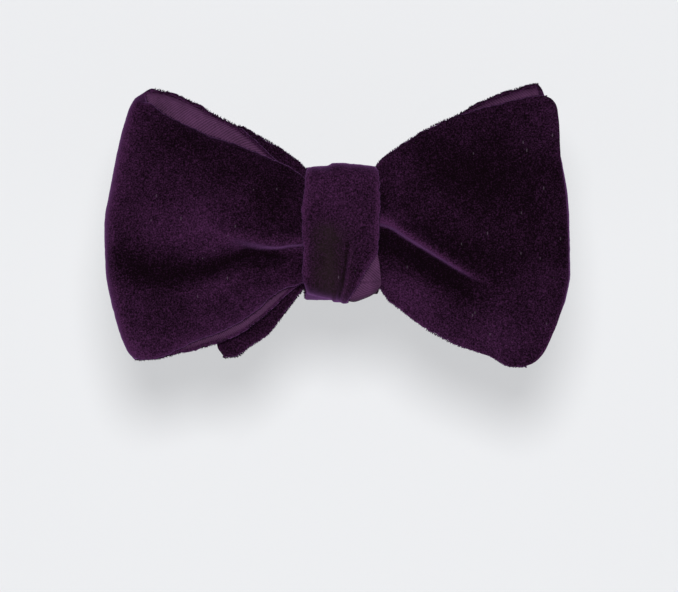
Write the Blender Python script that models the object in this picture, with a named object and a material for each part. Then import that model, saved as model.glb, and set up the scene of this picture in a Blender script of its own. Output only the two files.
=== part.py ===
"""Velvet self-tied bow tie on an adjustable neck band: tied bow, knot turn, band, eye, hook and slider.

Lengths below are millimetres and are scaled to metres when a mesh is made. +X is to the right of someone
facing the bow, +Z is up and the bow faces -Y. The origin is on the band's flat inner face behind the knot.
"depth" is the distance in front of that face, so y = -depth.
"""
import math

import bmesh
import bpy
import numpy as np
from mathutils import Matrix, Vector

MM = 0.001

# Cloth build-up, from the velvet's face inward: (start, end) of each layer
VELVET, INTERLINING, LINING = (0.0, 0.80), (1.00, 1.25), (1.45, 1.75)
CLOTH = 1.75
TAIL_LINING, TAIL_VELVET = (0.0, 0.30), (0.45, 1.25)

# Tied bow
FRONT_PASS_DEPTH, FRONT_BACK_DEPTH = 15.0, 10.2
REAR_PASS_DEPTH, REAR_BACK_DEPTH = 9.4, 4.9
FRONT_FOLD_DEPTH, REAR_FOLD_DEPTH = 11.5, 8.6
FOLD_RADIUS_MID, FOLD_RADIUS_END = 3.6, 2.7
ACROSS, WING_STEPS, FOLD_STEPS, BLADE_STEPS = 12, 7, 5, 7

# Knot turn
KNOT_TOP, KNOT_BOTTOM = 17.4, -17.6
KNOT_FRONT, KNOT_BACK = 21.4, 2.3
KNOT_HALF_WIDTH, KNOT_CROWN = 9.8, 0.8
KNOT_FRONT_RADIUS, KNOT_BACK_RADIUS, KNOT_SWELL = 5.0, 3.0, 0.6

# Neck band: flat behind the knot, quarter arc, straight side, quarter arc, clasp
BAND_HALF_HEIGHT = 10.0
ARC_CENTRE_X, ARC_RADIUS = 15.0, 42.0
SIDE_START, SIDE_END = 42.0, 75.0
FLEX_GAP_FRONT, FLEX_GAP_REAR = 0.60, 0.45
BIGHT_INNER_RADIUS, BIGHT_GAP = 1.2, 0.3
TAIL_FREE_END = 47.0
RIGHT_TAIL_LENGTH = 16.0

# Hardware
WIRE_RADIUS = 0.75
EYE_INNER_HALF_HEIGHT, EYE_REACH, EYE_CORNER = 10.4, 10.5, 1.2
HOOK_PLATE, HOOK_BAR_WIDTH, HOOK_BASE = 1.2, 1.6, 4.5
HOOK_TONGUE_HALF, HOOK_TONGUE_REACH, HOOK_CURL_RADIUS = 3.5, 9.8, 1.7
SLIDER_CENTRE_Y, SLIDER_LENGTH, SLIDER_PLATE = 58.0, 6.0, 1.0
SLIDER_CLEARANCE, SLIDER_RAIL = 0.4, 1.2
TACK_THICK, TACK_HALF_HEIGHT, TACK_WIDTH = 0.4, 7.0, 1.2

BAR_Y = SIDE_END + ARC_RADIUS - BIGHT_INNER_RADIUS
FLEX_X = ARC_CENTRE_X + ARC_RADIUS + CLOTH / 2

# Surface of each kind of piece: colour, roughness, metallic
LOOKS = {
    "velvet": ((0.035, 0.006, 0.035), 0.9, 0.0),
    "interlining": ((0.62, 0.60, 0.56), 0.95, 0.0),
    "lining": ((0.10, 0.03, 0.095), 0.5, 0.0),
    "tack": ((0.03, 0.008, 0.03), 0.8, 0.0),
    "metal": ((0.62, 0.62, 0.63), 0.3, 1.0),
}


def curve(*points):
    """A smooth, non-overshooting curve through (x, value) points, held level past both ends."""
    xs = np.array([p[0] for p in points], float)
    ys = np.array([p[1] for p in points], float)
    slope = np.diff(ys) / np.diff(xs)
    tangent = np.zeros(len(xs))
    for i in range(1, len(xs) - 1):
        if slope[i - 1] * slope[i] > 0:
            w1 = 2 * (xs[i + 1] - xs[i]) + (xs[i] - xs[i - 1])
            w2 = (xs[i + 1] - xs[i]) + 2 * (xs[i] - xs[i - 1])
            tangent[i] = (w1 + w2) / (w1 / slope[i - 1] + w2 / slope[i])
    tangent[0], tangent[-1] = slope[0], slope[-1]

    def at(x):
        x = min(max(x, xs[0]), xs[-1])
        i = int(min(max(np.searchsorted(xs, x) - 1, 0), len(slope) - 1))
        h = xs[i + 1] - xs[i]
        t = (x - xs[i]) / h
        return float(
            (1 + 2 * t) * (1 - t) ** 2 * ys[i]
            + t * (1 - t) ** 2 * h * tangent[i]
            + t * t * (3 - 2 * t) * ys[i + 1]
            + t * t * (t - 1) * h * tangent[i + 1]
        )

    return at


def smooth(t):
    t = min(max(t, 0.0), 1.0)
    return t * t * (3 - 2 * t)


# Outlines of the tied cloth: height against distance from the knot's centre line
FRONT_LOOP = {
    "top_front": curve(
        (0, 12.3), (8, 13.0), (10.4, 13.9), (13, 17.2), (18, 19.6), (25, 22.5), (35, 25.9), (41, 28.6),
        (47.5, 32.6), (51, 35.5),
    ),
    "low_front": curve(
        (0, -12.2), (8, -12.6), (10.4, -13.3), (14.6, -14.9), (18.8, -17.9), (24, -22), (30.2, -25.6),
        (36.4, -28.2), (46.7, -33.2), (53, -33.6),
    ),
    "top_back": curve(
        (0, 12), (8, 12.8), (10.4, 13.8), (16.7, 18.8), (21.6, 23.6), (27, 27.9), (32, 30.6),
        (39.5, 34.7), (45.7, 37), (50, 37.6),
    ),
    "low_back": curve(
        (0, -12), (8, -12.4), (10.4, -13.4), (17.7, -19.7), (19.8, -21.8), (27.1, -26.6),
        (36.4, -30.2), (46.7, -33.8), (53, -33.8),
    ),
    "out": curve(
        (0, 53.2), (0.05, 55.2), (0.155, 57.9), (0.34, 60.4), (0.5, 60.7), (0.65, 58.9), (0.89, 55.2),
        (1, 53.2),
    ),
}
FRONT_BLADE = {
    "top": curve(
        (0, 12.3), (8, 13.0), (10.4, 13.9), (12.2, 18.2), (15.4, 22.6), (24.5, 28), (33, 31.1),
        (41, 33.4), (51, 35.6), (56, 35.8),
    ),
    "low": curve(
        (0, -12.2), (8, -12.6), (10.4, -13.6), (12.2, -17.0), (15.4, -19.7), (22.9, -25.4),
        (29.7, -28.8), (38, -31.8), (44, -34.6), (50, -34.7),
    ),
    "out": curve(
        (0, 47.0), (0.012, 49.6), (0.06, 52.7), (0.107, 54.2), (0.16, 56.0), (0.5, 56.3), (0.88, 56.3),
        (0.955, 55.6), (0.99, 53.7), (1, 51.5),
    ),
}
REAR_LOOP = {
    "top_front": curve(
        (0, 12), (8, 12.8), (10.4, 13.6), (14, 18), (24.5, 25.5), (33, 29), (44, 33), (50, 34.6),
    ),
    "low_front": curve(
        (0, -12), (8, -12.4), (10.4, -13.2), (15.4, -18.3), (22.9, -23.5), (29.7, -27), (40, -30.5),
        (50, -31.5),
    ),
    "top_back": curve(
        (0, 12), (8, 12.8), (10.4, 13.8), (14, 19), (24.5, 26.8), (29.7, 30.3), (34.8, 32.9),
        (44.4, 37), (50.1, 38.6),
    ),
    "low_back": curve(
        (0, -12), (8, -12.4), (10.4, -13.2), (15.4, -18.0), (22.9, -23.2), (29.7, -26.8), (40, -30.2),
        (50, -31.3),
    ),
    "out": curve(
        (0, 52.0), (0.11, 55.6), (0.2, 58.1), (0.3, 59.4), (0.43, 59.3), (0.58, 58.7), (0.73, 56.6),
        (0.88, 54.4), (1, 52.4),
    ),
}
REAR_BLADE = {
    "top": curve((0, 12.3), (8, 12.8), (10.4, 13.9), (14.6, 20.4), (21.6, 25.4), (27, 27.8), (36, 28.6)),
    "low": curve(
        (0, -12.3), (8, -12.6), (10.4, -13.6), (13.1, -19.0), (15.7, -22.8), (18.8, -26.4),
        (24, -29.6), (27.3, -31.7), (36, -32.4),
    ),
    "out": curve((0, 29.2), (0.04, 31.2), (0.3, 33.6), (0.6, 35.0), (0.94, 36.2), (1, 35.0)),
}

# The pleat pressed into each side of the front layer: line, height of the fold, depth of the valley
LEFT_RIDGE = curve((0, -3.0), (12.3, -3.4), (17, -4.2), (20.1, -4.0), (24.2, -2.3), (27.8, -0.6), (36, 2.5))
LEFT_VALLEY = curve(
    (0, -6.5), (19.6, -7.0), (24.7, -7.0), (30.4, -8.2), (37.9, -9.4), (47.5, -10.8), (59, -11.6),
)
LEFT_FOLD = curve((0, 1.6), (12, 1.9), (20, 1.9), (28, 1.2), (38, 0.0))
LEFT_DIP = curve((0, 0.9), (12, 1.2), (22, 2.0), (35, 1.9), (48, 1.2), (59, 0.3))
RIGHT_RIDGE = curve(
    (0, 5.5), (10, 4.6), (13.3, 0.9), (17.7, -2.3), (22.9, -6.0), (28.1, -9.1), (33.3, -11.1),
    (38, -13.2),
)
RIGHT_FOLD = curve((0, 1.6), (10, 1.8), (18, 2.0), (28, 1.6), (38, 0.0))
RIGHT_DIP = curve((0, 0.9), (10, 1.1), (18, 1.8), (28, 1.3), (38, 0.0))


def pleat(side, a, z):
    """How far the front layer stands out at distance a from the centre and height z."""
    if side < 0:
        ridge, valley, wide = LEFT_RIDGE(a), LEFT_VALLEY(a), 3.0 + 0.05 * a
        fold, dip = LEFT_FOLD(a), LEFT_DIP(a)
    else:
        ridge, wide = RIGHT_RIDGE(a), 3.6
        valley, fold, dip = ridge - 6.0, RIGHT_FOLD(a), RIGHT_DIP(a)
    up = fold * math.exp(-(((z - ridge) / (5.0 if z > ridge else 2.6)) ** 2))
    return up - dip * math.exp(-(((z - valley) / wide) ** 2))


def across_out(t, reach, middle):
    """Distance from the centre: even near the knot, following the outline's end further out."""
    w = smooth((t - 0.25) / 0.75)
    return t * (middle * (1 - w) + reach * w)


def loop_point(outline, side, depths, t, v, layer):
    """A point on one layer of a loop's wing. depths is (back at knot, front at knot, fold centre)."""
    radius = FOLD_RADIUS_END + (FOLD_RADIUS_MID - FOLD_RADIUS_END) * math.sin(math.pi * v) ** 0.7
    a = across_out(t, outline["out"](v) - radius, outline["out"](0.5) - radius)
    front = layer == "front"
    name = "front" if front else "back"
    z = outline["low_" + name](a) * (1 - v) + outline["top_" + name](a) * v
    start = depths[1] if front else depths[0]
    end = depths[2] + (radius if front else -radius)
    belly = (4.4 if side < 0 else 2.0) if front else -0.9
    s = smooth(t)
    fullness = math.sin(math.pi * t ** 0.9) ** 1.4 * math.sin(math.pi * v) ** 0.5
    depth = start * (1 - s) + end * s + belly * fullness
    if front and side < 0:
        depth += pleat(side, a, z) * (1 - smooth((t - 0.75) / 0.25) * 0.8)
    return side * a, depth, z


def fold_point(outline, side, depths, angle, v):
    """A point on the rounded fold, from the back layer (0) round to the front layer (pi)."""
    radius = FOLD_RADIUS_END + (FOLD_RADIUS_MID - FOLD_RADIUS_END) * math.sin(math.pi * v) ** 0.7
    back = loop_point(outline, side, depths, 1.0, v, "back")
    front = loop_point(outline, side, depths, 1.0, v, "front")
    w = smooth(angle / math.pi)
    x = back[0] + side * radius * math.sin(angle)
    middle = (back[1] + front[1]) / 2
    return x, middle - (front[1] - back[1]) / 2 * math.cos(angle), back[2] * (1 - w) + front[2] * w


def blade_point(outline, side, start, tip, belly, t, v, with_pleat):
    """A point on a single-layer blade, from the knot's centre (t 0) to its cut end (t 1)."""
    a = across_out(t, outline["out"](v), outline["out"](0.5))
    z = outline["low"](a) * (1 - v) + outline["top"](a) * v
    s = smooth(t)
    depth = start * (1 - s) + tip * s + belly * math.sin(math.pi * t) * math.sin(math.pi * v) ** 0.5
    if with_pleat:
        depth += pleat(side, a, z)
    return side * a, depth, z


def strip_grid(front):
    """The velvet face of a tied strip as rows of points: root, back layer, fold, front layer, blade."""
    if front:
        loop, side, blade = FRONT_LOOP, -1, FRONT_BLADE
        depths = (FRONT_BACK_DEPTH, FRONT_PASS_DEPTH, FRONT_FOLD_DEPTH)
        tip, belly = 15.2, 3.2
    else:
        loop, side, blade = REAR_LOOP, 1, REAR_BLADE
        depths = (REAR_BACK_DEPTH, REAR_PASS_DEPTH, REAR_FOLD_DEPTH)
        tip, belly = 5.6, -0.3
    vs = [0.5 - 0.5 * math.cos(math.pi * (0.12 + 0.76 * i / ACROSS)) for i in range(ACROSS + 1)]
    vs = [(v - vs[0]) / (vs[-1] - vs[0]) for v in vs]
    wing = [0.0] + [0.17 + 0.83 * i / (WING_STEPS - 1) for i in range(WING_STEPS)]
    first = 0.17 if front else 0.30
    cut = [0.0] + [first + (1.0 - first) * i / (BLADE_STEPS - 1) for i in range(BLADE_STEPS)]
    rows = [[loop_point(loop, side, depths, t, v, "back") for v in vs] for t in wing]
    for i in range(1, FOLD_STEPS):
        rows.append([fold_point(loop, side, depths, math.pi * i / FOLD_STEPS, v) for v in vs])
    rows += [[loop_point(loop, side, depths, t, v, "front") for v in vs] for t in reversed(wing)]
    start = depths[1]
    rows += [[blade_point(blade, -side, start, tip, belly, t, v, front) for v in vs] for t in cut[1:]]
    return np.array([[(x, -d, z) for x, d, z in row] for row in rows])


def grid_normals(points, closed=False):
    if closed:
        du = np.roll(points, -1, axis=0) - np.roll(points, 1, axis=0)
    else:
        du = np.gradient(points, axis=0)
    n = np.cross(du, np.gradient(points, axis=1))
    return n / np.maximum(np.linalg.norm(n, axis=2, keepdims=True), 1e-9)


def look(name):
    """The material for a piece, from the kind of piece its name says it is."""
    kind = next((k for k in ("velvet", "interlining", "lining", "tack") if name.endswith(k)), "metal")
    mat = bpy.data.materials.get(kind)
    if mat is None:
        colour, roughness, metallic = LOOKS[kind]
        mat = bpy.data.materials.new(kind)
        mat.use_nodes = True
        surface = mat.node_tree.nodes["Principled BSDF"]
        surface.inputs["Base Color"].default_value = (*colour, 1.0)
        surface.inputs["Roughness"].default_value = roughness
        surface.inputs["Metallic"].default_value = metallic
    return mat


def new_object(name, verts, faces):
    mesh = bpy.data.meshes.new(name)
    mesh.from_pydata([tuple(c * MM for c in v) for v in verts], [], faces)
    bm = bmesh.new()
    bm.from_mesh(mesh)
    bmesh.ops.recalc_face_normals(bm, faces=bm.faces)
    bm.to_mesh(mesh)
    bm.free()
    mesh.materials.append(look(name))
    obj = bpy.data.objects.new(name, mesh)
    bpy.context.scene.collection.objects.link(obj)
    return obj


def shell(name, points, normals, start, end, closed=False):
    """A closed sheet between two offsets of a grid, measured from the velvet's face inward."""
    outer, inner = points - normals * start, points - normals * end
    rows, cols = points.shape[:2]
    verts = [tuple(p) for p in outer.reshape(-1, 3)] + [tuple(p) for p in inner.reshape(-1, 3)]
    n = rows * cols
    faces = []
    for i in range(rows if closed else rows - 1):
        j = (i + 1) % rows
        for k in range(cols - 1):
            a, b, c, d = i * cols + k, i * cols + k + 1, j * cols + k + 1, j * cols + k
            faces += [(a, b, c), (a, c, d), (n + a, n + c, n + b), (n + a, n + d, n + c)]
        for k in (0, cols - 1):
            a, b = i * cols + k, j * cols + k
            faces.append((a, b, n + b, n + a) if k == 0 else (b, a, n + a, n + b))
    if not closed:
        for i in (0, rows - 1):
            for k in range(cols - 1):
                a, b = i * cols + k, i * cols + k + 1
                faces.append((b, a, n + a, n + b) if i == 0 else (a, b, n + b, n + a))
    return new_object(name, verts, faces)


def tied_strip(prefix, front):
    points = strip_grid(front)
    normals = grid_normals(points)
    middle = len(points) - BLADE_STEPS - 1
    if normals[middle, ACROSS // 2, 1] > 0:
        normals = -normals
    for layer, (start, end) in (("velvet", VELVET), ("interlining", INTERLINING), ("lining", LINING)):
        shell(f"{prefix}_{layer}", points, normals, start, end)


def knot_grid():
    """The outer face of the knot's turn: up the front, over the top, down behind and under."""
    path = []

    def corner(cd, cz, r, a0, a1, n):
        for i in range(n + 1):
            a = math.radians(a0 + (a1 - a0) * i / n)
            path.append((cd + r * math.cos(a), cz + r * math.sin(a)))

    fr, br = KNOT_FRONT_RADIUS, KNOT_BACK_RADIUS
    for i in range(1, 6):
        t = i / 6
        z = (KNOT_BOTTOM + fr) * (1 - t) + (KNOT_TOP - fr) * t
        path.append((KNOT_FRONT + KNOT_SWELL * math.sin(math.pi * t), z))
    corner(KNOT_FRONT - fr, KNOT_TOP - fr, fr, 0, 90, 4)
    corner(KNOT_BACK + br, KNOT_TOP - br, br, 90, 180, 3)
    corner(KNOT_BACK + br, KNOT_BOTTOM + br, br, 180, 270, 3)
    corner(KNOT_FRONT - fr, KNOT_BOTTOM + fr, fr, 270, 360, 4)
    return path


# Where the velvet of the turn stops on its lower right, baring the lining
KNOT_RIGHT_EDGE = curve(
    (-18, 2.2), (-15.5, 3.6), (-13.5, 4.6), (-9.8, 6.5), (-6.5, 7.8), (-2.3, 9.4), (2, 9.7), (18, 9.0),
)


def knot_turn():
    path = knot_grid()
    across = [-1.0, -0.8, -0.35, 0.0, 0.35, 0.8, 1.0]

    def grid(cut_back):
        rows = []
        for d, z in path:
            right = KNOT_HALF_WIDTH
            if cut_back:
                right = KNOT_RIGHT_EDGE(z) if d > 12 else 2.2 + 7.0 * smooth((z + 17.6) / 30)
            row = []
            for u in across:
                x = u * KNOT_HALF_WIDTH if u < 0 else u * right
                crown = KNOT_CROWN * (abs(x) / KNOT_HALF_WIDTH) ** 3 * smooth((d - 4.0) / 8.0)
                row.append((x, d, z, crown))
            rows.append(row)
        points = np.array([[(x, -d, z) for x, d, z, _ in row] for row in rows])
        crown = np.array([[c for *_, c in row] for row in rows])[:, :, None]
        normals = grid_normals(points, closed=True)
        if normals[2, 3, 1] > 0:
            normals = -normals
        return points - normals * crown, normals

    for layer, (start, end), cut_back in (
        ("velvet", VELVET, True), ("interlining", INTERLINING, True), ("lining", LINING, False)
    ):
        points, normals = grid(cut_back)
        shell(f"knot_{layer}", points, normals, start, end, closed=True)


def band_inner_path(side, start, end, steps):
    """Points and outward directions on the band's inner face, by length from the middle of the seat."""
    quarter = ARC_RADIUS * math.pi / 2
    flat, side_run = ARC_CENTRE_X, SIDE_END - SIDE_START
    out = []
    for i in range(steps + 1):
        s = start + (end - start) * i / steps
        if s <= flat:
            p, n = (s, 0.0), (0.0, -1.0)
        elif s <= flat + quarter:
            a = (s - flat) / ARC_RADIUS
            n = (math.sin(a), -math.cos(a))
            p = (flat + ARC_RADIUS * n[0], SIDE_START + ARC_RADIUS * n[1])
        elif s <= flat + quarter + side_run:
            n = (1.0, 0.0)
            p = (flat + ARC_RADIUS, SIDE_START + s - flat - quarter)
        else:
            a = (s - flat - quarter - side_run) / ARC_RADIUS
            n = (math.cos(a), math.sin(a))
            p = (flat + ARC_RADIUS * n[0], SIDE_END + ARC_RADIUS * n[1])
        out.append((side * p[0], p[1], side * n[0], n[1]))
    return out


def ribbon(name, path, inner, outer, half_height):
    """A strip standing on its edge along a path, from one offset to another."""
    verts = [(x + nx * offset, y + ny * offset, z) for offset in (outer, inner)
             for x, y, nx, ny in path for z in (-half_height, half_height)]
    rows = len(path)
    n = rows * 2
    faces = []
    for i in range(rows - 1):
        a, b, c, d = 2 * i, 2 * i + 1, 2 * i + 3, 2 * i + 2
        faces += [(a, b, c, d), (n + d, n + c, n + b, n + a), (a, d, n + d, n + a), (b, n + b, n + c, c)]
    faces += [(0, n, n + 1, 1), (2 * rows - 2, 2 * rows - 1, n + 2 * rows - 1, n + 2 * rows - 2)]
    return new_object(name, verts, faces)


def quarter_turn_length():
    return ARC_CENTRE_X + ARC_RADIUS * math.pi / 2


def band_length():
    """From the middle of the seat to the clasp's bar, along the inner face."""
    return quarter_turn_length() + SIDE_END - SIDE_START + ARC_RADIUS * math.pi / 2


def collar_band():
    """The part of the band that stays with the bow: side to side round the front of the neck."""
    end = quarter_turn_length() - FLEX_GAP_FRONT
    left = band_inner_path(-1, ARC_CENTRE_X, end, 12)
    right = band_inner_path(1, ARC_CENTRE_X, end, 12)
    path = list(reversed(left)) + right
    for layer, (start, stop) in (("velvet", VELVET), ("interlining", INTERLINING), ("lining", LINING)):
        ribbon(f"collar_band_{layer}", path, CLOTH - stop, CLOTH - start, BAND_HALF_HEIGHT)


def rear_band(prefix, side):
    start = quarter_turn_length() + FLEX_GAP_REAR
    straight_end = quarter_turn_length() + SIDE_END - SIDE_START
    end = band_length() - BIGHT_GAP
    path = band_inner_path(side, start, straight_end, 1) + band_inner_path(side, straight_end, end, 12)[1:]
    for layer, (a, b) in (("velvet", VELVET), ("interlining", INTERLINING), ("lining", LINING)):
        ribbon(f"{prefix}_band_{layer}", path, CLOTH - b, CLOTH - a, BAND_HALF_HEIGHT)


def tail(prefix, side, length_back):
    """The end of the band turned round the clasp's bar and laid back along the inside."""
    bar_x = side * ARC_CENTRE_X
    turn = []
    for i in range(9):
        a = math.radians(90 - 180 * i / 8)
        nx, ny = -side * math.cos(a), math.sin(a)
        turn.append((bar_x + BIGHT_INNER_RADIUS * nx, BAR_Y + BIGHT_INNER_RADIUS * ny, nx, ny))
    full = band_length()
    stop = full - length_back
    straight_end = quarter_turn_length() + SIDE_END - SIDE_START
    shift = 2 * BIGHT_INNER_RADIUS
    if stop < straight_end:
        back = band_inner_path(side, full, straight_end, 12)[1:]
        back += band_inner_path(side, straight_end, stop, 1)[1:]
    else:
        back = band_inner_path(side, full, stop, 5)[1:]
    inner = [(x - nx * shift, y - ny * shift, -nx, -ny) for x, y, nx, ny in back]
    for layer, (a, b) in (("lining", TAIL_LINING), ("velvet", TAIL_VELVET)):
        ribbon(f"{prefix}_tail_{layer}", turn + inner, a, b, BAND_HALF_HEIGHT)


def eye_ring():
    """A rectangular ring of round wire, about the bar that stands in the band's left turn."""
    half, corner = EYE_INNER_HALF_HEIGHT + WIRE_RADIUS, EYE_CORNER
    centre = []
    for cx, cz, start in ((EYE_REACH - corner, half - corner, 0), (corner, half - corner, 90),
                          (corner, -half + corner, 180), (EYE_REACH - corner, -half + corner, 270)):
        for i in range(4):
            a = math.radians(start + 30 * i)
            centre.append((cx + corner * math.cos(a), 0.0, cz + corner * math.sin(a)))
    curve_data = bpy.data.curves.new("eye", "CURVE")
    curve_data.dimensions = "3D"
    curve_data.bevel_depth = WIRE_RADIUS * MM
    curve_data.bevel_resolution = 2
    spline = curve_data.splines.new("POLY")
    spline.points.add(len(centre) - 1)
    for point, co in zip(spline.points, centre):
        point.co = (*(c * MM for c in co), 1.0)
    spline.use_cyclic_u = True
    curve_data.materials.append(look("eye"))
    obj = bpy.data.objects.new("eye", curve_data)
    obj.location = (-ARC_CENTRE_X * MM, BAR_Y * MM, 0.0)
    bpy.context.scene.collection.objects.link(obj)


def box(name, low, high, helper=False):
    mesh = bpy.data.meshes.new(name)
    bm = bmesh.new()
    bmesh.ops.create_cube(bm, size=1.0)
    size = [abs(h - l) * MM for l, h in zip(low, high)]
    middle = [(h + l) / 2 * MM for l, h in zip(low, high)]
    bmesh.ops.scale(bm, vec=size, verts=bm.verts)
    bmesh.ops.translate(bm, vec=middle, verts=bm.verts)
    bm.to_mesh(mesh)
    bm.free()
    mesh.materials.append(look(name))
    obj = bpy.data.objects.new(name, mesh)
    bpy.context.scene.collection.objects.link(obj)
    if helper:
        obj.hide_render = True
        obj.display_type = "WIRE"
    return obj


def cut(obj, cutter):
    mod = obj.modifiers.new(cutter.name, "BOOLEAN")
    mod.operation, mod.solver, mod.object = "DIFFERENCE", "EXACT", cutter


def hook():
    """A plate with a slot for the band's right turn, and a tongue that curls inward and back."""
    full = EYE_INNER_HALF_HEIGHT + 1.5
    start = ARC_CENTRE_X + HOOK_BAR_WIDTH / 2
    base, tip = start - HOOK_BASE, start - HOOK_TONGUE_REACH
    stations = [(start, BAR_Y, full), (base - 0.9, BAR_Y, full), (base - 1.8, BAR_Y, 6.0),
                (base - 2.8, BAR_Y, HOOK_TONGUE_HALF + 0.4), (tip, BAR_Y, HOOK_TONGUE_HALF)]
    r = HOOK_CURL_RADIUS
    for i in range(1, 7):
        a = math.pi * i / 6
        stations.append((tip - r * math.sin(a), BAR_Y - r + r * math.cos(a), HOOK_TONGUE_HALF))
    stations.append((tip + 3.6, BAR_Y - 2 * r, HOOK_TONGUE_HALF))
    stations.append((tip + 4.8, BAR_Y - 2 * r - 0.5, HOOK_TONGUE_HALF - 0.8))
    xy = np.array([(x, y) for x, y, _ in stations])
    tangent = np.gradient(xy, axis=0)
    tangent /= np.linalg.norm(tangent, axis=1, keepdims=True)
    path = [(x, y, -t[1], t[0]) for (x, y), t in zip(xy, tangent)]
    verts, faces = [], []
    for (x, y, nx, ny), (_, _, h) in zip(path, stations):
        for off, z in ((0.5, -h), (0.5, h), (-0.5, h), (-0.5, -h)):
            verts.append((x + nx * off * HOOK_PLATE, y + ny * off * HOOK_PLATE, z))
    for i in range(len(path) - 1):
        for k in range(4):
            faces.append((4 * i + k, 4 * i + (k + 1) % 4, 4 * i + 4 + (k + 1) % 4, 4 * i + 4 + k))
    last = 4 * (len(path) - 1)
    faces += [(3, 2, 1, 0), (last, last + 1, last + 2, last + 3)]
    plate = new_object("hook", verts, faces)
    slot = box("hook_slot", (start - HOOK_BASE, BAR_Y - 3, -EYE_INNER_HALF_HEIGHT),
               (start - HOOK_BAR_WIDTH, BAR_Y + 3, EYE_INNER_HALF_HEIGHT), helper=True)
    cut(plate, slot)


def slider():
    """A sleeve with two windows: the band runs through the outer one and its tail through the inner."""
    band_in, band_out = ARC_CENTRE_X + ARC_RADIUS, ARC_CENTRE_X + ARC_RADIUS + CLOTH
    tail_out = band_in - 2 * BIGHT_INNER_RADIUS
    tail_in = tail_out - TAIL_VELVET[1]
    gap, plate = SLIDER_CLEARANCE, SLIDER_PLATE
    y0, y1 = SLIDER_CENTRE_Y - SLIDER_LENGTH / 2, SLIDER_CENTRE_Y + SLIDER_LENGTH / 2
    window = BAND_HALF_HEIGHT + gap
    top = window + SLIDER_RAIL
    body = box("slider", (-(band_out + gap + plate), y0, -top), (-(tail_in - gap - plate), y1, top))
    bevel = body.modifiers.new("soft_edges", "BEVEL")
    bevel.width, bevel.segments, bevel.limit_method = 0.35 * MM, 2, "ANGLE"
    for name, outer, inner in (("band", band_out, band_in), ("tail", tail_out, tail_in)):
        low, high = (-(outer + gap), y0 - 2, -window), (-(inner - gap), y1 + 2, window)
        cut(body, box(f"slider_{name}_window", low, high, helper=True))


def tacks():
    """Bar tacks: one stops the slider running off the free tail, one sews down the right tail."""
    face = ARC_CENTRE_X + ARC_RADIUS - 2 * BIGHT_INNER_RADIUS - TAIL_VELVET[1] - 0.05
    y0 = TAIL_FREE_END + 0.2
    low, high = (-face, y0, -TACK_HALF_HEIGHT), (TACK_THICK - face, y0 + TACK_WIDTH, TACK_HALF_HEIGHT)
    box("tail_stop_tack", low, high)
    mid = band_length() - RIGHT_TAIL_LENGTH + 3.0
    path = band_inner_path(1, mid - TACK_WIDTH / 2, mid + TACK_WIDTH / 2, 1)
    depth = 2 * BIGHT_INNER_RADIUS + TAIL_VELVET[1] + 0.05
    inner = [(x - nx * depth, y - ny * depth, -nx, -ny) for x, y, nx, ny in path]
    ribbon("right_bar_tack", inner, 0.0, TACK_THICK, TACK_HALF_HEIGHT)


def hang(pivot_name, place, pieces, parent=None):
    """Moves the pieces' origins to a joint's axis and parents them to an empty that stands on it."""
    pivot = bpy.data.objects.new(pivot_name, None)
    pivot.empty_display_size = 0.01
    bpy.context.scene.collection.objects.link(pivot)
    base = Vector([c * MM for c in parent[1]]) if parent else Vector()
    pivot.parent = parent[0] if parent else None
    at = Vector([c * MM for c in place])
    pivot.location = at - base
    for name in pieces:
        obj = bpy.data.objects[name]
        if obj.type == "MESH":
            obj.data.transform(Matrix.Translation(-at))
        obj.parent = pivot
        obj.location = (0.0, 0.0, 0.0)
    return pivot, place


def assemble():
    """Groups the pieces the way they move: bow, left band with slider and eye, right band with hook."""
    left = hang("left_band_axis", (-FLEX_X, SIDE_START, 0), [
        "left_band_velvet", "left_band_interlining", "left_band_lining", "left_tail_velvet",
        "left_tail_lining", "tail_stop_tack"])
    right = hang("right_band_axis", (FLEX_X, SIDE_START, 0), [
        "right_band_velvet", "right_band_interlining", "right_band_lining", "right_tail_velvet",
        "right_tail_lining", "right_bar_tack"])
    hang("slider_axis", (-(ARC_CENTRE_X + ARC_RADIUS), SLIDER_CENTRE_Y, 0),
         ["slider", "slider_band_window", "slider_tail_window"], left)
    hang("eye_axis", (-ARC_CENTRE_X, BAR_Y, 0), ["eye"], left)
    hang("hook_axis", (ARC_CENTRE_X, BAR_Y, 0), ["hook", "hook_slot"], right)


def main():
    for obj in list(bpy.data.objects):
        bpy.data.objects.remove(obj, do_unlink=True)
    tied_strip("front_strip", True)
    tied_strip("rear_strip", False)
    knot_turn()
    collar_band()
    rear_band("left", -1)
    rear_band("right", 1)
    tail("left", -1, band_length() - quarter_turn_length() - (TAIL_FREE_END - SIDE_START))
    tail("right", 1, RIGHT_TAIL_LENGTH)
    eye_ring()
    hook()
    slider()
    tacks()
    assemble()


main()
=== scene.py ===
"""Velvet self-tied bow tie: the cloth, linings, nap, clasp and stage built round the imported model."""
import math

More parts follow.
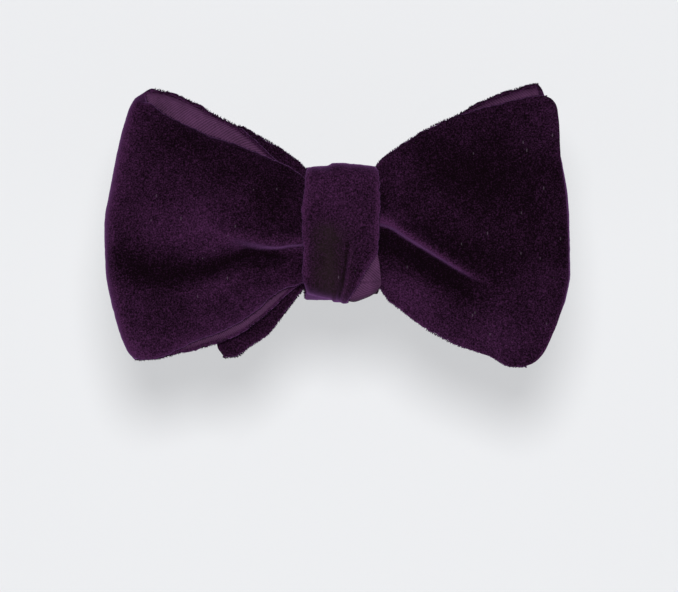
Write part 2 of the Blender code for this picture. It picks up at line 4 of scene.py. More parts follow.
import bpy
import numpy as np
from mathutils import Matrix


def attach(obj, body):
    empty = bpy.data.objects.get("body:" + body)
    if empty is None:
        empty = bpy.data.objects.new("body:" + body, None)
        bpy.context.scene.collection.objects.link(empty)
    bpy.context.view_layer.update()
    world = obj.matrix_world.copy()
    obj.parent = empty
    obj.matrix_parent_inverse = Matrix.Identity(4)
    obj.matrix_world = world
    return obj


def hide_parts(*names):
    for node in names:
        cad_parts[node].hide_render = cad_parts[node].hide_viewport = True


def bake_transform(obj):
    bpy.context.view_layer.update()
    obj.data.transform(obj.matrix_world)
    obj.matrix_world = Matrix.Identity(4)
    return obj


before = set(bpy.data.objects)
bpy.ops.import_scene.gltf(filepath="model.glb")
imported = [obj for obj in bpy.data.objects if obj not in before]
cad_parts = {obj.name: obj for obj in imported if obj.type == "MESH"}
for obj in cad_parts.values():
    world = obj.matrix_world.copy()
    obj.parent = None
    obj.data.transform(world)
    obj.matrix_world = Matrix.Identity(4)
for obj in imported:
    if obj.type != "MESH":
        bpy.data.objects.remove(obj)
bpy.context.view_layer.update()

bl_info = {
    "name": "Velvet Bow Tie",
    "version": (1, 0, 0),
    "blender": (4, 5, 0),
    "location": "View3D > Sidebar > Bow Tie",
    "description": "Builds a self-tied velvet bow tie with its lining, neck band and clasp",
    "category": "Add Mesh",
}

# Lengths are millimetres unless a name ends in _M. The bow faces -Y, so y is minus the depth.
MM = 0.001

# Cloth build-up, from the velvet's face inward: (start, end) of each layer
VELVET, INTERLINING, LINING = (0.0, 0.45), (0.62, 0.78), (0.95, 1.15)
KNOT_CANVAS, KNOT_LINING = (1.25, 1.40), (1.55, 1.80)
BAND_LAYERS = {"pile": (0.0, 0.60), "canvas": (0.85, 1.05), "backing": (1.30, 1.55)}
TAIL_LAYERS = {"pile": (0.0, 0.60), "backing": (0.95, 1.22)}
SLOTS = ("velvet", "interlining", "lining")

# A turned edge of the bow: its radius, how far it runs on behind, and how far it strays
EDGE_RADIUS, EDGE_TURN, EDGE_WANDER = 0.60, 0.12, 0.25
# The radius of a tuft's root
TUFT_ROOT = 0.15
# How far the lining reaches past its strip, the painted highlight on edges and how far in it reaches,
# and the painted highlight on the folds
LINING_OUT, EDGE_PAINTED_HIGHLIGHT, EDGE_REACH, FOLD_PAINTED_HIGHLIGHT = 0.30, 0.28, 1.5, 1.7
# Painted shade: how much darker a strip's pile is drawn where it faces up
STRIP_UPWARD_PAINTED_SHADE = 0.34
# The lining and the interlining stop this many rows short of a strip's cut end
END_ROWS_OFF = 4

# The knot's turn seen from the side: its depths, its heights and the radii of its corners
KNOT_FRONT, KNOT_BACK, KNOT_TOP, KNOT_BOTTOM = 21.4, 2.3, 17.2, -17.4
KNOT_FRONT_CORNER, KNOT_BACK_CORNER = 5, 3

# The neck band: a flat seat, a quarter turn, a straight side and a second quarter turn on each side
BAND_THICKNESS, BAND_HALF_HEIGHT = 1.75, 10.0
BAND_EDGE_RADIUS, BAND_EDGE_TURN, BAND_EDGE_WANDER = 0.85, 0.9, 0.05
TAIL_EDGE_RADIUS, TAIL_THICKNESS, RIGHT_TAIL_BACK = 0.5, 1.25, 16.0
ARC_CENTRE_X, ARC_RADIUS, SIDE_START, SIDE_END, TAIL_FREE_END = 15.0, 42.0, 42.0, 75.0, 47.0
QUARTER = ARC_RADIUS * math.pi / 2
SIDE_RUN = SIDE_END - SIDE_START
BAND_LENGTH = ARC_CENTRE_X + QUARTER + SIDE_RUN + QUARTER
# The radius of the turns round the clasp's bars, and how far short of them the band stops
BIGHT_RADIUS, BIGHT_GAP = 1.2, 0.02
# The band's three stretches meet JOIN before the sides, in rows END_ROW long that keep the shading level
JOIN, END_ROW, BAND_SEED = 0.6, 0.04, 80

# The way the bow faces
FORWARD = (0, -1, 0)


# ---------------------------------------------------------------- curves and grids

def curve(*points):
    """A smooth, non-overshooting curve through (x, value) points, held level past both ends."""
    xs = np.array([p[0] for p in points], float)
    ys = np.array([p[1] for p in points], float)
    step, slope = np.diff(xs), np.diff(ys) / np.diff(xs)
    tangent = np.concatenate([slope[:1], np.zeros(len(xs) - 2), slope[-1:]])
    for i in range(1, len(xs) - 1):
        if slope[i - 1] * slope[i] > 0:
            w1, w2 = 2 * step[i] + step[i - 1], step[i] + 2 * step[i - 1]
            tangent[i] = (w1 + w2) / (w1 / slope[i - 1] + w2 / slope[i])

    def at(x):
        x = np.clip(x, xs[0], xs[-1])
        i = np.clip(np.searchsorted(xs, x) - 1, 0, len(slope) - 1)
        h, t = step[i], (x - xs[i]) / step[i]
        rise = (1 + 2 * t) * (1 - t) ** 2 * ys[i] + t * t * (3 - 2 * t) * ys[i + 1]
        return rise + h * t * (1 - t) * ((1 - t) * tangent[i] - t * tangent[i + 1])

    return at


def smooth(t):
    """An even rise from 0 to 1 with level ends."""
    t = np.clip(t, 0.0, 1.0)
    return t * t * (3 - 2 * t)


def bump(x, centre, width):
    """A soft hill of height 1."""
    return np.exp(-(((x - centre) / width) ** 2))


def ripple(x, z, size, seed):
    """Soft random hills from -1 to 1, about size millimetres across."""
    cells = np.random.default_rng(seed).uniform(-1, 1, (256, 256))
    u, v = x / size + 0.3, z / size + 0.7
    i, j = np.floor(u).astype(int), np.floor(v).astype(int)
    a, b = smooth(u - i), smooth(v - j)
    i, j, k, m = i % 256, j % 256, (i + 1) % 256, (j + 1) % 256
    low = cells[i, j] * (1 - a) + cells[k, j] * a
    high = cells[i, m] * (1 - a) + cells[k, m] * a
    return low * (1 - b) + high * b


# Outlines of the tied cloth: height against distance from the knot's centre line
FRONT_LOOP = {
    "top_front": curve((0, 12.3), (8, 13.6), (10.4, 15.2), (13, 17.2), (18, 19.4), (25, 22.4), (35, 25.9),
                       (41, 28.6), (47.5, 32.6), (51, 35.4)),
    "low_front": curve((0, -12.2), (8, -12.8), (11, -13.8), (14.6, -14.9), (18.8, -17.9), (24, -22.2),
                       (30.2, -25.6), (36.4, -27.9), (42.0, -30.4), (48.0, -32.8), (53, -33.2)),
    "top_back": curve((0, 12), (8, 12.8), (10.4, 13.8), (14.6, 17.0), (21.6, 23.6), (27, 27.9), (32, 30.6),
                      (39.5, 34.7), (45.7, 37), (50, 37.7)),
    "low_back": curve((0, -12), (8, -12.4), (10.4, -13.4), (17.7, -19.9), (19.8, -21.9), (27.1, -26.9),
                      (36.4, -30.1), (40.5, -31.0), (44.7, -32.2), (48.0, -32.9), (53, -33.1)),
    "out": curve((0, 53.4), (0.03, 55.0), (0.155, 58.1), (0.34, 60.6), (0.5, 60.9), (0.65, 59.3),
                 (0.89, 55.7), (0.97, 53.5), (1, 50.8)),
}
FRONT_BLADE = {
    "top": curve((0, 12.3), (6, 13.6), (8.2, 16.2), (9.8, 18.4), (12.2, 20.4), (15.4, 22.7), (24.5, 28),
                 (33, 31.1), (41, 33.4), (51, 35.6), (56, 35.9)),
    "low": curve((0, -12.2), (8, -12.8), (10.4, -15.2), (12.2, -17.6), (15.4, -20.0), (22.9, -25.5),
                 (29.7, -29.0), (38, -32.0), (43.9, -34.8), (50, -35.0)),
    "out": curve((0, 47.6), (0.012, 49.6), (0.06, 52.7), (0.107, 54.2), (0.16, 55.8), (0.25, 57.6),
                 (0.35, 58.7), (0.48, 58.6), (0.58, 58.2), (0.7, 57.3), (0.78, 56.6), (0.88, 56.3),
                 (0.955, 55.7), (0.99, 54.2), (1, 52.8)),
}
REAR_LOOP = {
    "top_front": curve((0, 12), (8, 12.8), (10.4, 13.6), (14, 18), (24.5, 25.5), (33, 29), (44, 33),
                       (50, 34.4)),
    "low_front": curve((0, -12), (8, -12.4), (10.4, -13.2), (15.4, -18), (22.9, -23.2), (29.7, -26.8),
                       (40, -30.2), (50, -31.2)),
    "top_back": curve((0, 12), (8, 12.8), (10.4, 13.8), (14, 19), (24.5, 26.8), (29.7, 30.6), (34.8, 33.5),
                      (39.0, 35.4), (44.4, 37.4), (50.1, 38.9)),
    "low_back": curve((0, -12), (8, -12.4), (10.4, -13.2), (15.4, -17.8), (22.9, -23), (29.7, -26.6),
                      (40, -30), (50, -31)),
    "out": curve((0, 51.0), (0.11, 55.8), (0.2, 58.2), (0.3, 59.4), (0.43, 59.3), (0.58, 58.9), (0.73, 57.3),
                 (0.88, 54.8), (0.97, 53.2), (1, 52.4)),
}
REAR_BLADE = {
    "top": curve((0, 12.3), (7, 13.4), (9.0, 16.4), (10.4, 18.0), (13.6, 20.5), (17.6, 23.2), (21.6, 25.4),
                 (27, 28.0), (36, 28.8)),
    "low": curve((0, -12.3), (8, -12.6), (10.4, -15.6), (13.1, -18.9), (15.7, -22.2), (18.8, -26.0),
                 (24, -29.6), (27.3, -32.2), (36, -32.8)),
    "out": curve((0, 30.4), (0.04, 31.9), (0.3, 33.6), (0.6, 35.0), (0.94, 36.2), (1, 35.0)),
}

# The pleat pressed into each side of the front layer
LEFT_RIDGE = curve((0, -2.6), (12.3, -3.1), (16.4, -3.7), (20.1, -3.1), (24.2, -1.9), (27.8, -0.4), (36, 3.5))
LEFT_VALLEY = curve((0, -5.6), (16, -5.5), (23.4, -4.8), (28, -6.4), (35.7, -8.7), (44.2, -9.5), (50, -8.8),
                    (59, -7.6))
LEFT_FOLD = curve((0, 2.0), (12, 2.3), (20, 2.2), (28, 1.2), (40, 0.0))
LEFT_DIP = curve((0, 1.2), (12, 1.6), (24, 2.3), (38, 2.0), (50, 1.2), (59, 0.25))
RIGHT_RIDGE = curve((0, 2.7), (10, 2.3), (12.8, 1.5), (17.1, -1.2), (21.4, -3.8), (25.8, -6.5), (28.4, -8.0),
                    (33.3, -10.7), (38, -13.0))
RIGHT_FOLD = curve((0, 2.0), (10, 2.3), (18, 2.4), (28, 1.9), (34, 1.0), (39, 0.0))
RIGHT_DIP = curve((0, 1.2), (10, 1.5), (18, 2.0), (28, 1.4), (37, 0.0))


def pleat(side, a, z):
    """How far the front layer stands out at distance a from the centre and height z."""
    if side < 0:
        ridge, valley, fold, dip = LEFT_RIDGE(a), LEFT_VALLEY(a), LEFT_FOLD(a), LEFT_DIP(a)
        under, wide = 0.32 + 0.16 * np.clip(a - 17.0, 0, None), 1.9 + 0.055 * a
    else:
        ridge = RIGHT_RIDGE(a)
        valley, fold, dip = ridge - 2.2 - 0.03 * a, RIGHT_FOLD(a), RIGHT_DIP(a)
        under, wide = 0.36 + 0.05 * np.clip(a - 26.0, 0, None), 2.4 + 0.03 * a
    above = z > ridge
    up = fold * np.where(above, bump(z, ridge, 4.6), bump(z, ridge, under))
    return up - dip * bump(z, valley, wide)


def pleat_nap(side, a, z):
    """Painted light along a pleat: a painted highlight on its rolled edge and painted shade in the dip below
    it.
    """
    if side < 0:
        ridge, valley = LEFT_RIDGE(a), LEFT_VALLEY(a)
        painted_lip_highlight = 0.09 * smooth((32 - a) / 10) * bump(z, ridge + 0.2, np.where(z > ridge + 0.2, 2.0, 0.7))
        spread = 1.3 + 0.12 * np.clip(a - 20, 0, None)
        painted_hollow_shade = -0.36 * smooth((a - 12) / 6) * bump(z, valley + 0.2, spread)
        # Below the dip, a painted highlight on the lower bulge
        return painted_lip_highlight + painted_hollow_shade + 0.20 * bump(z, valley - 5.4, 2.6) * bump(a, 30, 8)
    ridge = RIGHT_RIDGE(a)
    painted_lip_highlight = 0.32 * smooth((40 - a) / 14) * bump(z, ridge + 0.1, np.where(z > ridge + 0.1, 1.7, 0.8))
    below = np.clip(ridge - z, 0, None)
    painted_hollow_shade = -0.50 * smooth((44 - a) / 18) * smooth((below - 0.5) / 0.5) * np.exp(-below / 7.5)
    # A painted highlight above the pleat near the knot, and painted shade in a notch where it meets the knot
    painted_puff_and_notch_light = 0.22 * bump(z, 4.0, 2.6) * bump(a, 12.5, 3.5) - 0.24 * bump(z, 8.8, 1.0) * bump(a, 10.2, 1.6)
    return painted_lip_highlight + painted_hollow_shade + painted_puff_and_notch_light


def gathers(side, a, z, amount):
    """Fine puckers that fan out of the knot and die away along the wing."""
    angle = np.arctan2(z, a + 6.0)
    fade = np.exp(-np.clip(a - 8.0, 0, None) / 9.0) * smooth((a - 4.0) / 6.0)
    folds = ripple(angle * 9.0, side * 3.0 + a * 0.05, 1.0, 17)
    folds = folds + 0.5 * ripple(angle * 21.0, side * 5.0 + a * 0.08, 1.0, 18)
    return amount * 2.0 * fade * folds


def across_out(t, reach, middle):
    """Distance from the centre: even near the knot, following the outline's end further out."""
    w = smooth((t - 0.25) / 0.75)
    return t * (middle * (1 - w) + reach * w)


def heights(low, top, v):
    """Heights between two edges, drawn in by the radius of the turned edge."""
    return (low + EDGE_RADIUS) * (1 - v) + (top - EDGE_RADIUS) * v


def fold_radius(v):
    """Radius of a loop's fold, small at both edges of the cloth."""
    return 1.5 + 2.1 * np.sin(math.pi * np.clip(v, 0.0, 1.0)) ** 0.6


def across_fullness(v):
    """How full the cloth stands across its width: nothing at both edges, most in the middle."""
    rise = np.sin(math.pi * np.clip(v, 0.0, 1.0))
    return rise * (1.35 - 0.35 * rise)


def loop_layer(outline, side, depths, belly, t, v, front):
    """One layer of a loop's wing as (x, depth, height). depths is (knot, fold centre)."""
    radius = fold_radius(v)
    a = across_out(t, outline["out"](v) - radius, outline["out"](np.array(0.5)) - 3.6)
    name = "front" if front else "back"
    z = heights(outline["low_" + name](a), outline["top_" + name](a), v)
    s = smooth(t)
    end = depths[1] + (radius if front else -radius)
    fullness = np.sin(math.pi * t ** 0.9) ** 1.4 * across_fullness(v)
    depth = depths[0] * (1 - s) + end * s + belly * fullness
    return side * a, depth, z


def front_relief(side, x, depth, z, settle):
    """The front layer's depth with its pleat, puckers and slow waves, calmer where it settles."""
    a = np.abs(x)
    depth = depth + pleat(side, a, z) * (1 - settle * 0.85)
    depth = depth + gathers(side, a, z, 0.14)
    return depth + 0.34 * ripple(x, z, 9.0, 3) * smooth((a - 9) / 10) * (1 - 0.6 * settle)


def strip_rows(front, rows):
    """A tied strip's velvet face, root to cut end, as a grid of points (x, y, z) in millimetres.

    rows counts the grid's rows in the back layer, the fold, the front layer and the blade, then its columns.
    """
    back_n, fold_n, front_n, blade_n, cols = rows
    if front:
        loop, side, blade = FRONT_LOOP, -1, FRONT_BLADE
        back_knot, front_knot, fold_depth, belly, tip, blade_belly = 10.2, 15.0, 11.5, 4.4, 15.2, 3.2
    else:
        loop, side, blade = REAR_LOOP, 1, REAR_BLADE
        back_knot, front_knot, fold_depth, belly, tip, blade_belly = 4.9, 9.4, 8.6, 2.0, 5.6, -0.3
    v = np.linspace(0, 1, cols)[None, :]
    t = np.linspace(0, 1, back_n)[:, None]
    back = loop_layer(loop, side, (back_knot, fold_depth), -0.9, t, v, False)
    t = np.linspace(1, 0, front_n)[:, None]
    x, d, z = loop_layer(loop, side, (front_knot, fold_depth), belly, t, v, True)
    if front:
        d = front_relief(side, x, d, z, smooth((t - 0.72) / 0.28))
    fore = (x, d, z)
    angle = np.linspace(0, math.pi, fold_n + 2)[1:-1, None]
    w = smooth(angle / math.pi)
    middle, half = (back[1][-1] + fore[1][0]) / 2, (fore[1][0] - back[1][-1]) / 2
    base_x = back[0][-1] * (1 - w) + fore[0][0] * w
    turn = (base_x + side * fold_radius(v) * np.sin(angle), middle - half * np.cos(angle),
            back[2][-1] * (1 - w) + fore[2][0] * w)
    t = np.linspace(0, 1, blade_n)[1:, None]
    a = across_out(t, blade["out"](v), blade["out"](np.array(0.5)))
    z = heights(blade["low"](a), blade["top"](a), v)
    s = smooth(t)
    d = front_knot * (1 - s) + tip * s + blade_belly * np.sin(math.pi * t) * across_fullness(v)
    x = -side * a
    if front:
        d = front_relief(-side, x, d, z, smooth((t - 0.9) / 0.1))
    else:
        d = d + gathers(side, a, z, 0.2)
    grids = [back, turn, fore, (x, d, z)]
    return np.concatenate([np.stack([g[0], -g[1], g[2]], axis=2) for g in grids])


def grid_normals(points, closed=False):
    """Unit normals of a grid, whose rows may close into a ring."""
    along = np.roll(points, -1, 0) - np.roll(points, 1, 0) if closed else np.gradient(points, axis=0)
    return unit(np.cross(along, np.gradient(points, axis=1)))


def unit(vectors):
    """The same directions with length 1."""
    return vectors / np.maximum(np.linalg.norm(vectors, axis=-1, keepdims=True), 1e-9)


def turned_edges(points, normals, radius=EDGE_RADIUS, turn=EDGE_TURN, wander=EDGE_WANDER, steps=6):
    """Carries the velvet's face round both long edges and a little way back on the lining side."""
    angles = np.linspace(0, math.pi, steps + 1)[1:]
    sides = []
    for edge, inner in ((0, 1), (-1, -2)):
        n = normals[:, edge]
        out = points[:, edge] - points[:, inner]
        out = unit(out - (out * n).sum(1, keepdims=True) * n)
        run = np.cumsum(np.linalg.norm(np.diff(points[:, edge], axis=0, prepend=points[:1, edge]), axis=1))
        row = run * 0.0 + edge * 9.0
        ragged = wander * (ripple(run, row, 0.7, 25) + ripple(run, row, 2.6, 26))
        centre = points[:, edge] - n * radius + out * ragged[:, None]
        ring = [centre + radius * (n * math.cos(a) + out * math.sin(a)) for a in angles]
        ring += [ring[-1] - out * turn]
        sides.append(np.stack(ring, axis=1))
    return np.concatenate([sides[0][:, ::-1], points, sides[1]], axis=1)


def rounded_end(points, normals, radius=EDGE_RADIUS):
    """Rolls the last row's cut end down, as the pile does where a strip stops."""
    steps = np.linalg.norm(np.diff(points, axis=0), axis=2)
    left = np.concatenate([np.cumsum(steps[::-1], axis=0)[::-1], np.zeros((1, points.shape[1]))])
    over = np.clip(radius - left, 0, radius)
    drop = radius - np.sqrt(radius * radius - over * over)
    return points - normals * drop[:, :, None]


def facing_normals(points, row, col, toward, closed=False):
    """The grid's normals, signed so that the one at row, col points toward a direction."""
    normals = grid_normals(points, closed)
    return normals if np.dot(normals[row, col], toward) > 0 else -normals


def cloth_lengths(points):
    """Distances in millimetres along and across a grid, for a pattern that follows the cloth."""
    along = np.linalg.norm(np.diff(points, axis=0), axis=2).mean(axis=1)
    across = np.linalg.norm(np.diff(points, axis=1), axis=2).mean(axis=0)
    u = np.concatenate([[0], np.cumsum(along)])[:, None] + np.zeros(points.shape[:2])
    v = np.concatenate([[0], np.cumsum(across)])[None, :] + np.zeros(points.shape[:2])
    return u, v


# ---------------------------------------------------------------- meshes

def deselect():
    """Leaves nothing selected."""
    for obj in bpy.context.selected_objects:
        obj.select_set(False)


def new_piece(name, verts, faces, material, uv=None, marks=None, rims=0):
    """A new mesh object from millimetres, with its map and marks; its last faces, its rims, are flat."""
    mesh = bpy.data.meshes.new(name)
    mesh.from_pydata((np.asarray(verts) * MM).tolist(), [], faces.tolist())
    if uv is not None:
        layer = mesh.uv_layers.new(name="cloth")
        loops = np.empty(len(mesh.loops), np.int32)
        mesh.loops.foreach_get("vertex_index", loops)
        layer.data.foreach_set("uv", (uv[loops] * 0.1).ravel())
    for label, values in (marks or {}).items():
        attribute = mesh.attributes.new(label, "FLOAT", "POINT")
        attribute.data.foreach_set("value", values.astype(np.float32).ravel())
    mesh.polygons.foreach_set("use_smooth", np.arange(len(faces)) < len(faces) - rims)
    mesh.materials.append(material)
    obj = bpy.data.objects.new(name, mesh)
    bpy.context.scene.collection.objects.link(obj)
    return obj


def rim(line, n):
    """Quads that close the gap between a sheet's two faces along one of its edges."""
    return np.stack([line[:-1], line[:-1] + n, line[1:] + n, line[1:]], 1)


def shell(name, points, normals, start, end, material, closed=False, **marks):
    """A closed sheet between two offsets of a grid, with its UV map in centimetres of cloth."""
    outer, inner = points - normals * start, points - normals * end
    rows, cols = points.shape[:2]
    n = rows * cols
    index = np.arange(n).reshape(rows, cols)
    if closed:
        index = np.concatenate([index, index[:1]])
    a, b = index[:-1, :-1].ravel(), index[:-1, 1:].ravel()
    c, d = index[1:, 1:].ravel(), index[1:, :-1].ravel()
    faces = [np.stack([a, b, c, d], 1), np.stack([d, c, b, a], 1) + n]
    faces += [rim(index[:, 0], n), rim(index[::-1, -1], n)[::-1]]
    if not closed:
        faces += [rim(index[0, ::-1], n)[::-1], rim(index[-1], n)]
    faces = np.concatenate(faces)
    outward = np.cross(outer[1, 1] - outer[0, 0], outer[0, 1] - outer[1, 0])
    if (outward * normals[0, 0]).sum() > 0:
        faces = faces[:, ::-1]
    u, v = cloth_lengths(points)
    uv = np.tile(np.stack([u.ravel(), v.ravel()], 1), (2, 1))
    verts = np.concatenate([outer.reshape(-1, 3), inner.reshape(-1, 3)])
    both = {label: np.tile(values.ravel(), 2) for label, values in marks.items()}
    return new_piece(name, verts, faces, material, uv, both, len(faces) - 2 * len(a))


def pile(points, normals, seed):
    """Slight unevenness of the pile's face."""
    x, z = points[:, :, 0], points[:, :, 2]
    lift = 0.05 * ripple(x * 1.3 + points[:, :, 1], z, 1.1, seed) + 0.03 * ripple(x, z * 1.2, 0.6, seed + 1)
    return points + normals * lift[:, :, None]


def pile_tone_and_painted_light(points, normals, level, upward_painted_shade, sideways_painted_sheen, lobes):
    """How light the pile is drawn: painted shade where it faces up, painted sheen where it turns aside.

    Random tone is added; each lobe lightens or darkens a patch: (x, z, reach in x, reach in z, amount).
    """
    x, z = points[:, :, 0], points[:, :, 2]
    nap = level - upward_painted_shade * normals[:, :, 2] + sideways_painted_sheen * np.abs(normals[:, :, 0]) ** 1.3
    nap = nap + 0.06 * ripple(x, z, 7.0, 11) + 0.03 * ripple(x, z, 2.6, 12)
    for cx, cz, rx, rz, amount in lobes:
        nap = nap + amount * bump(x, cx, rx) * bump(z, cz, rz)
    return np.clip(nap, 0.0, 1.0)


def painted_edge_highlight(cloth, reach, folded_rows):
    """Painted highlight along the turned edges and, in the first rows, along the loop's fold."""
    steps = np.linalg.norm(np.diff(cloth, axis=1), axis=2)
    across = np.concatenate([np.zeros((len(cloth), 1)), np.cumsum(steps, axis=1)], axis=1)
    edge = np.exp(-np.minimum(across, across[:, -1:] - across) / reach)
    out = np.abs(cloth[:folded_rows, :, 0])
    fold = FOLD_PAINTED_HIGHLIGHT * np.exp((out - out.max(axis=0)) / (1.6 * reach))
    edge[:folded_rows] = np.maximum(edge[:folded_rows], fold)
    return edge


def tufts(name, base, direction, length, width, light, seed):
    """Short pointed bundles of pile standing on a row of places, each with its own lightness."""
    rng = np.random.default_rng(seed)
    n = len(base)
    direction = unit(direction + rng.normal(0, 0.35, (n, 3)))
    length = length * rng.uniform(0.45, 1.15, (n, 1))
    other = unit(np.cross(direction, rng.normal(0, 1, (n, 3))))
    third = np.cross(direction, other)
    width = width * rng.uniform(0.7, 1.3, (n, 1))
    root = base - direction * 0.15
    corners = [root + width * (other * math.cos(a) + third * math.sin(a)) for a in (0.0, 2.1, 4.2)]
    verts = np.stack(corners + [base + direction * length], 1).reshape(-1, 3)
    start = np.arange(n)[:, None] * 4
    faces = np.concatenate([start + np.array(f) for f in ((0, 1, 3), (1, 2, 3), (2, 0, 3), (2, 1, 0))])
    return new_piece(name, verts, faces, nap_fringe(), marks={"nap": np.repeat(light, 4)})


def along_row(places, run, field):
    """A row of vectors read at other places along it."""
    return np.stack([np.interp(places, run, field[:, k]) for k in range(3)], 1)


def edge_tufts(name, points, normals, seed):
    """Pile that stands out along a strip's two turned edges."""
    tie = bpy.context.scene.bow_tie
    rng = np.random.default_rng(seed)
    places, directions = [], []
    for edge, inner in ((0, 1), (-1, -2)):
        p, n = points[:, edge], normals[:, edge]
        out = unit(p - points[:, inner])
        run = np.concatenate([[0], np.cumsum(np.linalg.norm(np.diff(p, axis=0), axis=1))])
        s = np.sort(rng.uniform(0, run[-1], int(run[-1] * tie.tufts_per_mm)))
        centre, nn, oo = (along_row(s, run, field) for field in (p - n * EDGE_RADIUS, n, out))
        angle = rng.uniform(0.9, 2.5, (len(s), 1))
        aim = nn * np.cos(angle) + oo * np.sin(angle)
        places.append(centre + aim * EDGE_RADIUS * 0.95)
        directions.append(aim)
    base = np.concatenate(places)
    # Painted shade: tufts further back are drawn darker, those toward the front lighter
    light = 0.16 + 0.44 * smooth((-base[:, 1] - 9.0) / 7.0)
    return tufts(name, base, np.concatenate(directions), tie.tuft_length / MM, TUFT_ROOT, light, seed + 1)


# ---------------------------------------------------------------- materials

def fed(tree, socket, value):
    """Gives a socket a plain value or another node's output."""
    if isinstance(value, bpy.types.NodeSocket):
        tree.links.new(value, socket)
    else:
        socket.default_value = value


def add(tree, kind, **values):
    """A node of that kind, with each socket named fed by a value or another node's output."""
    made = tree.nodes.new(kind)
    for name, value in values.items():
        fed(tree, made.inputs[name.replace("_", " ")], value)
    return made


def maths(tree, operation, a, b):
    """A maths node on two things, each a number or another node's output."""
    made = tree.nodes.new("ShaderNodeMath")
    made.operation = operation
    for socket, value in zip(made.inputs, (a, b)):
        fed(tree, socket, value)
    return made.outputs[0]


def mixed(tree, factor, first, second):
    """A colour between two, each a colour or another node's output."""
    made = tree.nodes.new("ShaderNodeMix")
    made.data_type = "RGBA"
    fed(tree, made.inputs["Factor"], factor)
    for socket, value in ((made.inputs[6], first), (made.inputs[7], second)):
        fed(tree, socket, value if isinstance(value, bpy.types.NodeSocket) else (*value, 1.0))
    return made.outputs[2]


def either(tree, factor, first, second):
    """One shader where the factor is 0 and another where it is 1."""
    made = tree.nodes.new("ShaderNodeMixShader")
    for socket, value in zip(made.inputs, (factor, first, second)):
        tree.links.new(value, socket)
    return made.outputs[0]


def scaled(tree, vector, scale):
    """A vector stretched along its own axes."""
    return add(tree, "ShaderNodeMapping", Vector=vector, Scale=scale).outputs["Vector"]


def object_space(tree):
    """Places on the piece, in its own axes."""
    return tree.nodes.new("ShaderNodeTexCoord").outputs["Object"]


def mark(tree, name):
    """A mark that the piece's mesh carries."""
    made = tree.nodes.new("ShaderNodeAttribute")
    made.attribute_name = name
    return made.outputs["Fac"]


def effect(name, inputs, outputs):
    """A new shader node group with its named sockets, and its input and output nodes."""
    group = bpy.data.node_groups.new(name, "ShaderNodeTree")
    for label, kind, value in inputs:
        socket = group.interface.new_socket(label, in_out="INPUT", socket_type=kind)
        if value is not None:
            socket.default_value = value
    for label, kind in outputs:
        group.interface.new_socket(label, in_out="OUTPUT", socket_type=kind)
    return group, group.nodes.new("NodeGroupInput"), group.nodes.new("NodeGroupOutput")


# The wave texture's own scale for one rib per centimetre, for ribs that run diagonally
WAVE_SCALE_PER_RIB = 0.444
LINT_STRENGTH = 0.16
SHEEN_TINT = (0.72, 0.36, 0.80, 1.0)


def mottle_effect():
    """Two sizes of noise added up: fine tufts and broader stroked patches."""
    group = bpy.data.node_groups.get("pile mottle")
    if group:
        return group
    group, start, end = effect("pile mottle", [
        ("Vector", "NodeSocketVector", None), ("Tuft Scale", "NodeSocketFloat", 1500.0),
        ("Patch Scale", "NodeSocketFloat", 260.0), ("Tuft Amount", "NodeSocketFloat", 1.0),
        ("Patch Amount", "NodeSocketFloat", 0.5),
    ], [("Value", "NodeSocketFloat"), ("Height", "NodeSocketFloat")])
    given = start.outputs
    tuft = add(group, "ShaderNodeTexNoise", Vector=given["Vector"], Scale=given["Tuft Scale"], Detail=2.5,
               Roughness=0.65)
    patch = add(group, "ShaderNodeTexNoise", Vector=given["Vector"], Scale=given["Patch Scale"], Detail=2.0,
                Roughness=0.5)
    fine = maths(group, "SUBTRACT", tuft.outputs["Fac"], 0.5)
    fine = maths(group, "MULTIPLY", fine, given["Tuft Amount"])
    wide = maths(group, "SUBTRACT", patch.outputs["Fac"], 0.5)
    wide = maths(group, "MULTIPLY", wide, given["Patch Amount"])
    fed(group, end.inputs["Value"], maths(group, "ADD", fine, wide))
    fed(group, end.inputs["Height"], tuft.outputs["Fac"])
    return group


def lint_effect():
    """A few tiny pale specks of lint, scattered and stretched."""
    group = bpy.data.node_groups.get("lint specks")
    if group:
        return group
    group, start, end = effect("lint specks", [
        ("Vector", "NodeSocketVector", None), ("Scale", "NodeSocketFloat", 430.0),
        ("Size", "NodeSocketFloat", 0.066),
    ], [("Value", "NodeSocketFloat")])
    given = start.outputs
    stretched = scaled(group, given["Vector"], (1.0, 1.0, 0.33))
    specks = add(group, "ShaderNodeTexVoronoi", Vector=stretched, Scale=given["Scale"])
    near = maths(group, "LESS_THAN", specks.outputs["Distance"], given["Size"])
    patchy = add(group, "ShaderNodeTexNoise", Vector=given["Vector"], Scale=90.0, Detail=1.0)
    some = maths(group, "GREATER_THAN", patchy.outputs["Fac"], 0.44)
    specked = maths(group, "MULTIPLY", maths(group, "MULTIPLY", near, some), LINT_STRENGTH)
    fed(group, end.inputs["Value"], specked)
    return group


def twill_effect():
    """Fine diagonal ribs with a broken edge, for woven cloth on a map in centimetres."""
    group = bpy.data.node_groups.get("twill ribs")
    if group:
        return group
    group, start, end = effect("twill ribs", [
        ("Vector", "NodeSocketVector", None), ("Ribs Per Centimetre", "NodeSocketFloat", 14.0),
        ("Break Up", "NodeSocketFloat", 1.2),
    ], [("Value", "NodeSocketFloat")])
    given = start.outputs
    scale = maths(group, "MULTIPLY", given["Ribs Per Centimetre"], WAVE_SCALE_PER_RIB)
    ribs = add(group, "ShaderNodeTexWave", Vector=given["Vector"], Scale=scale,
               Distortion=given["Break Up"], Detail=2.0, Detail_Scale=3.0)
    ribs.wave_type, ribs.bands_direction = "BANDS", "DIAGONAL"
    fed(group, end.inputs["Value"], ribs.outputs["Fac"])
    return group


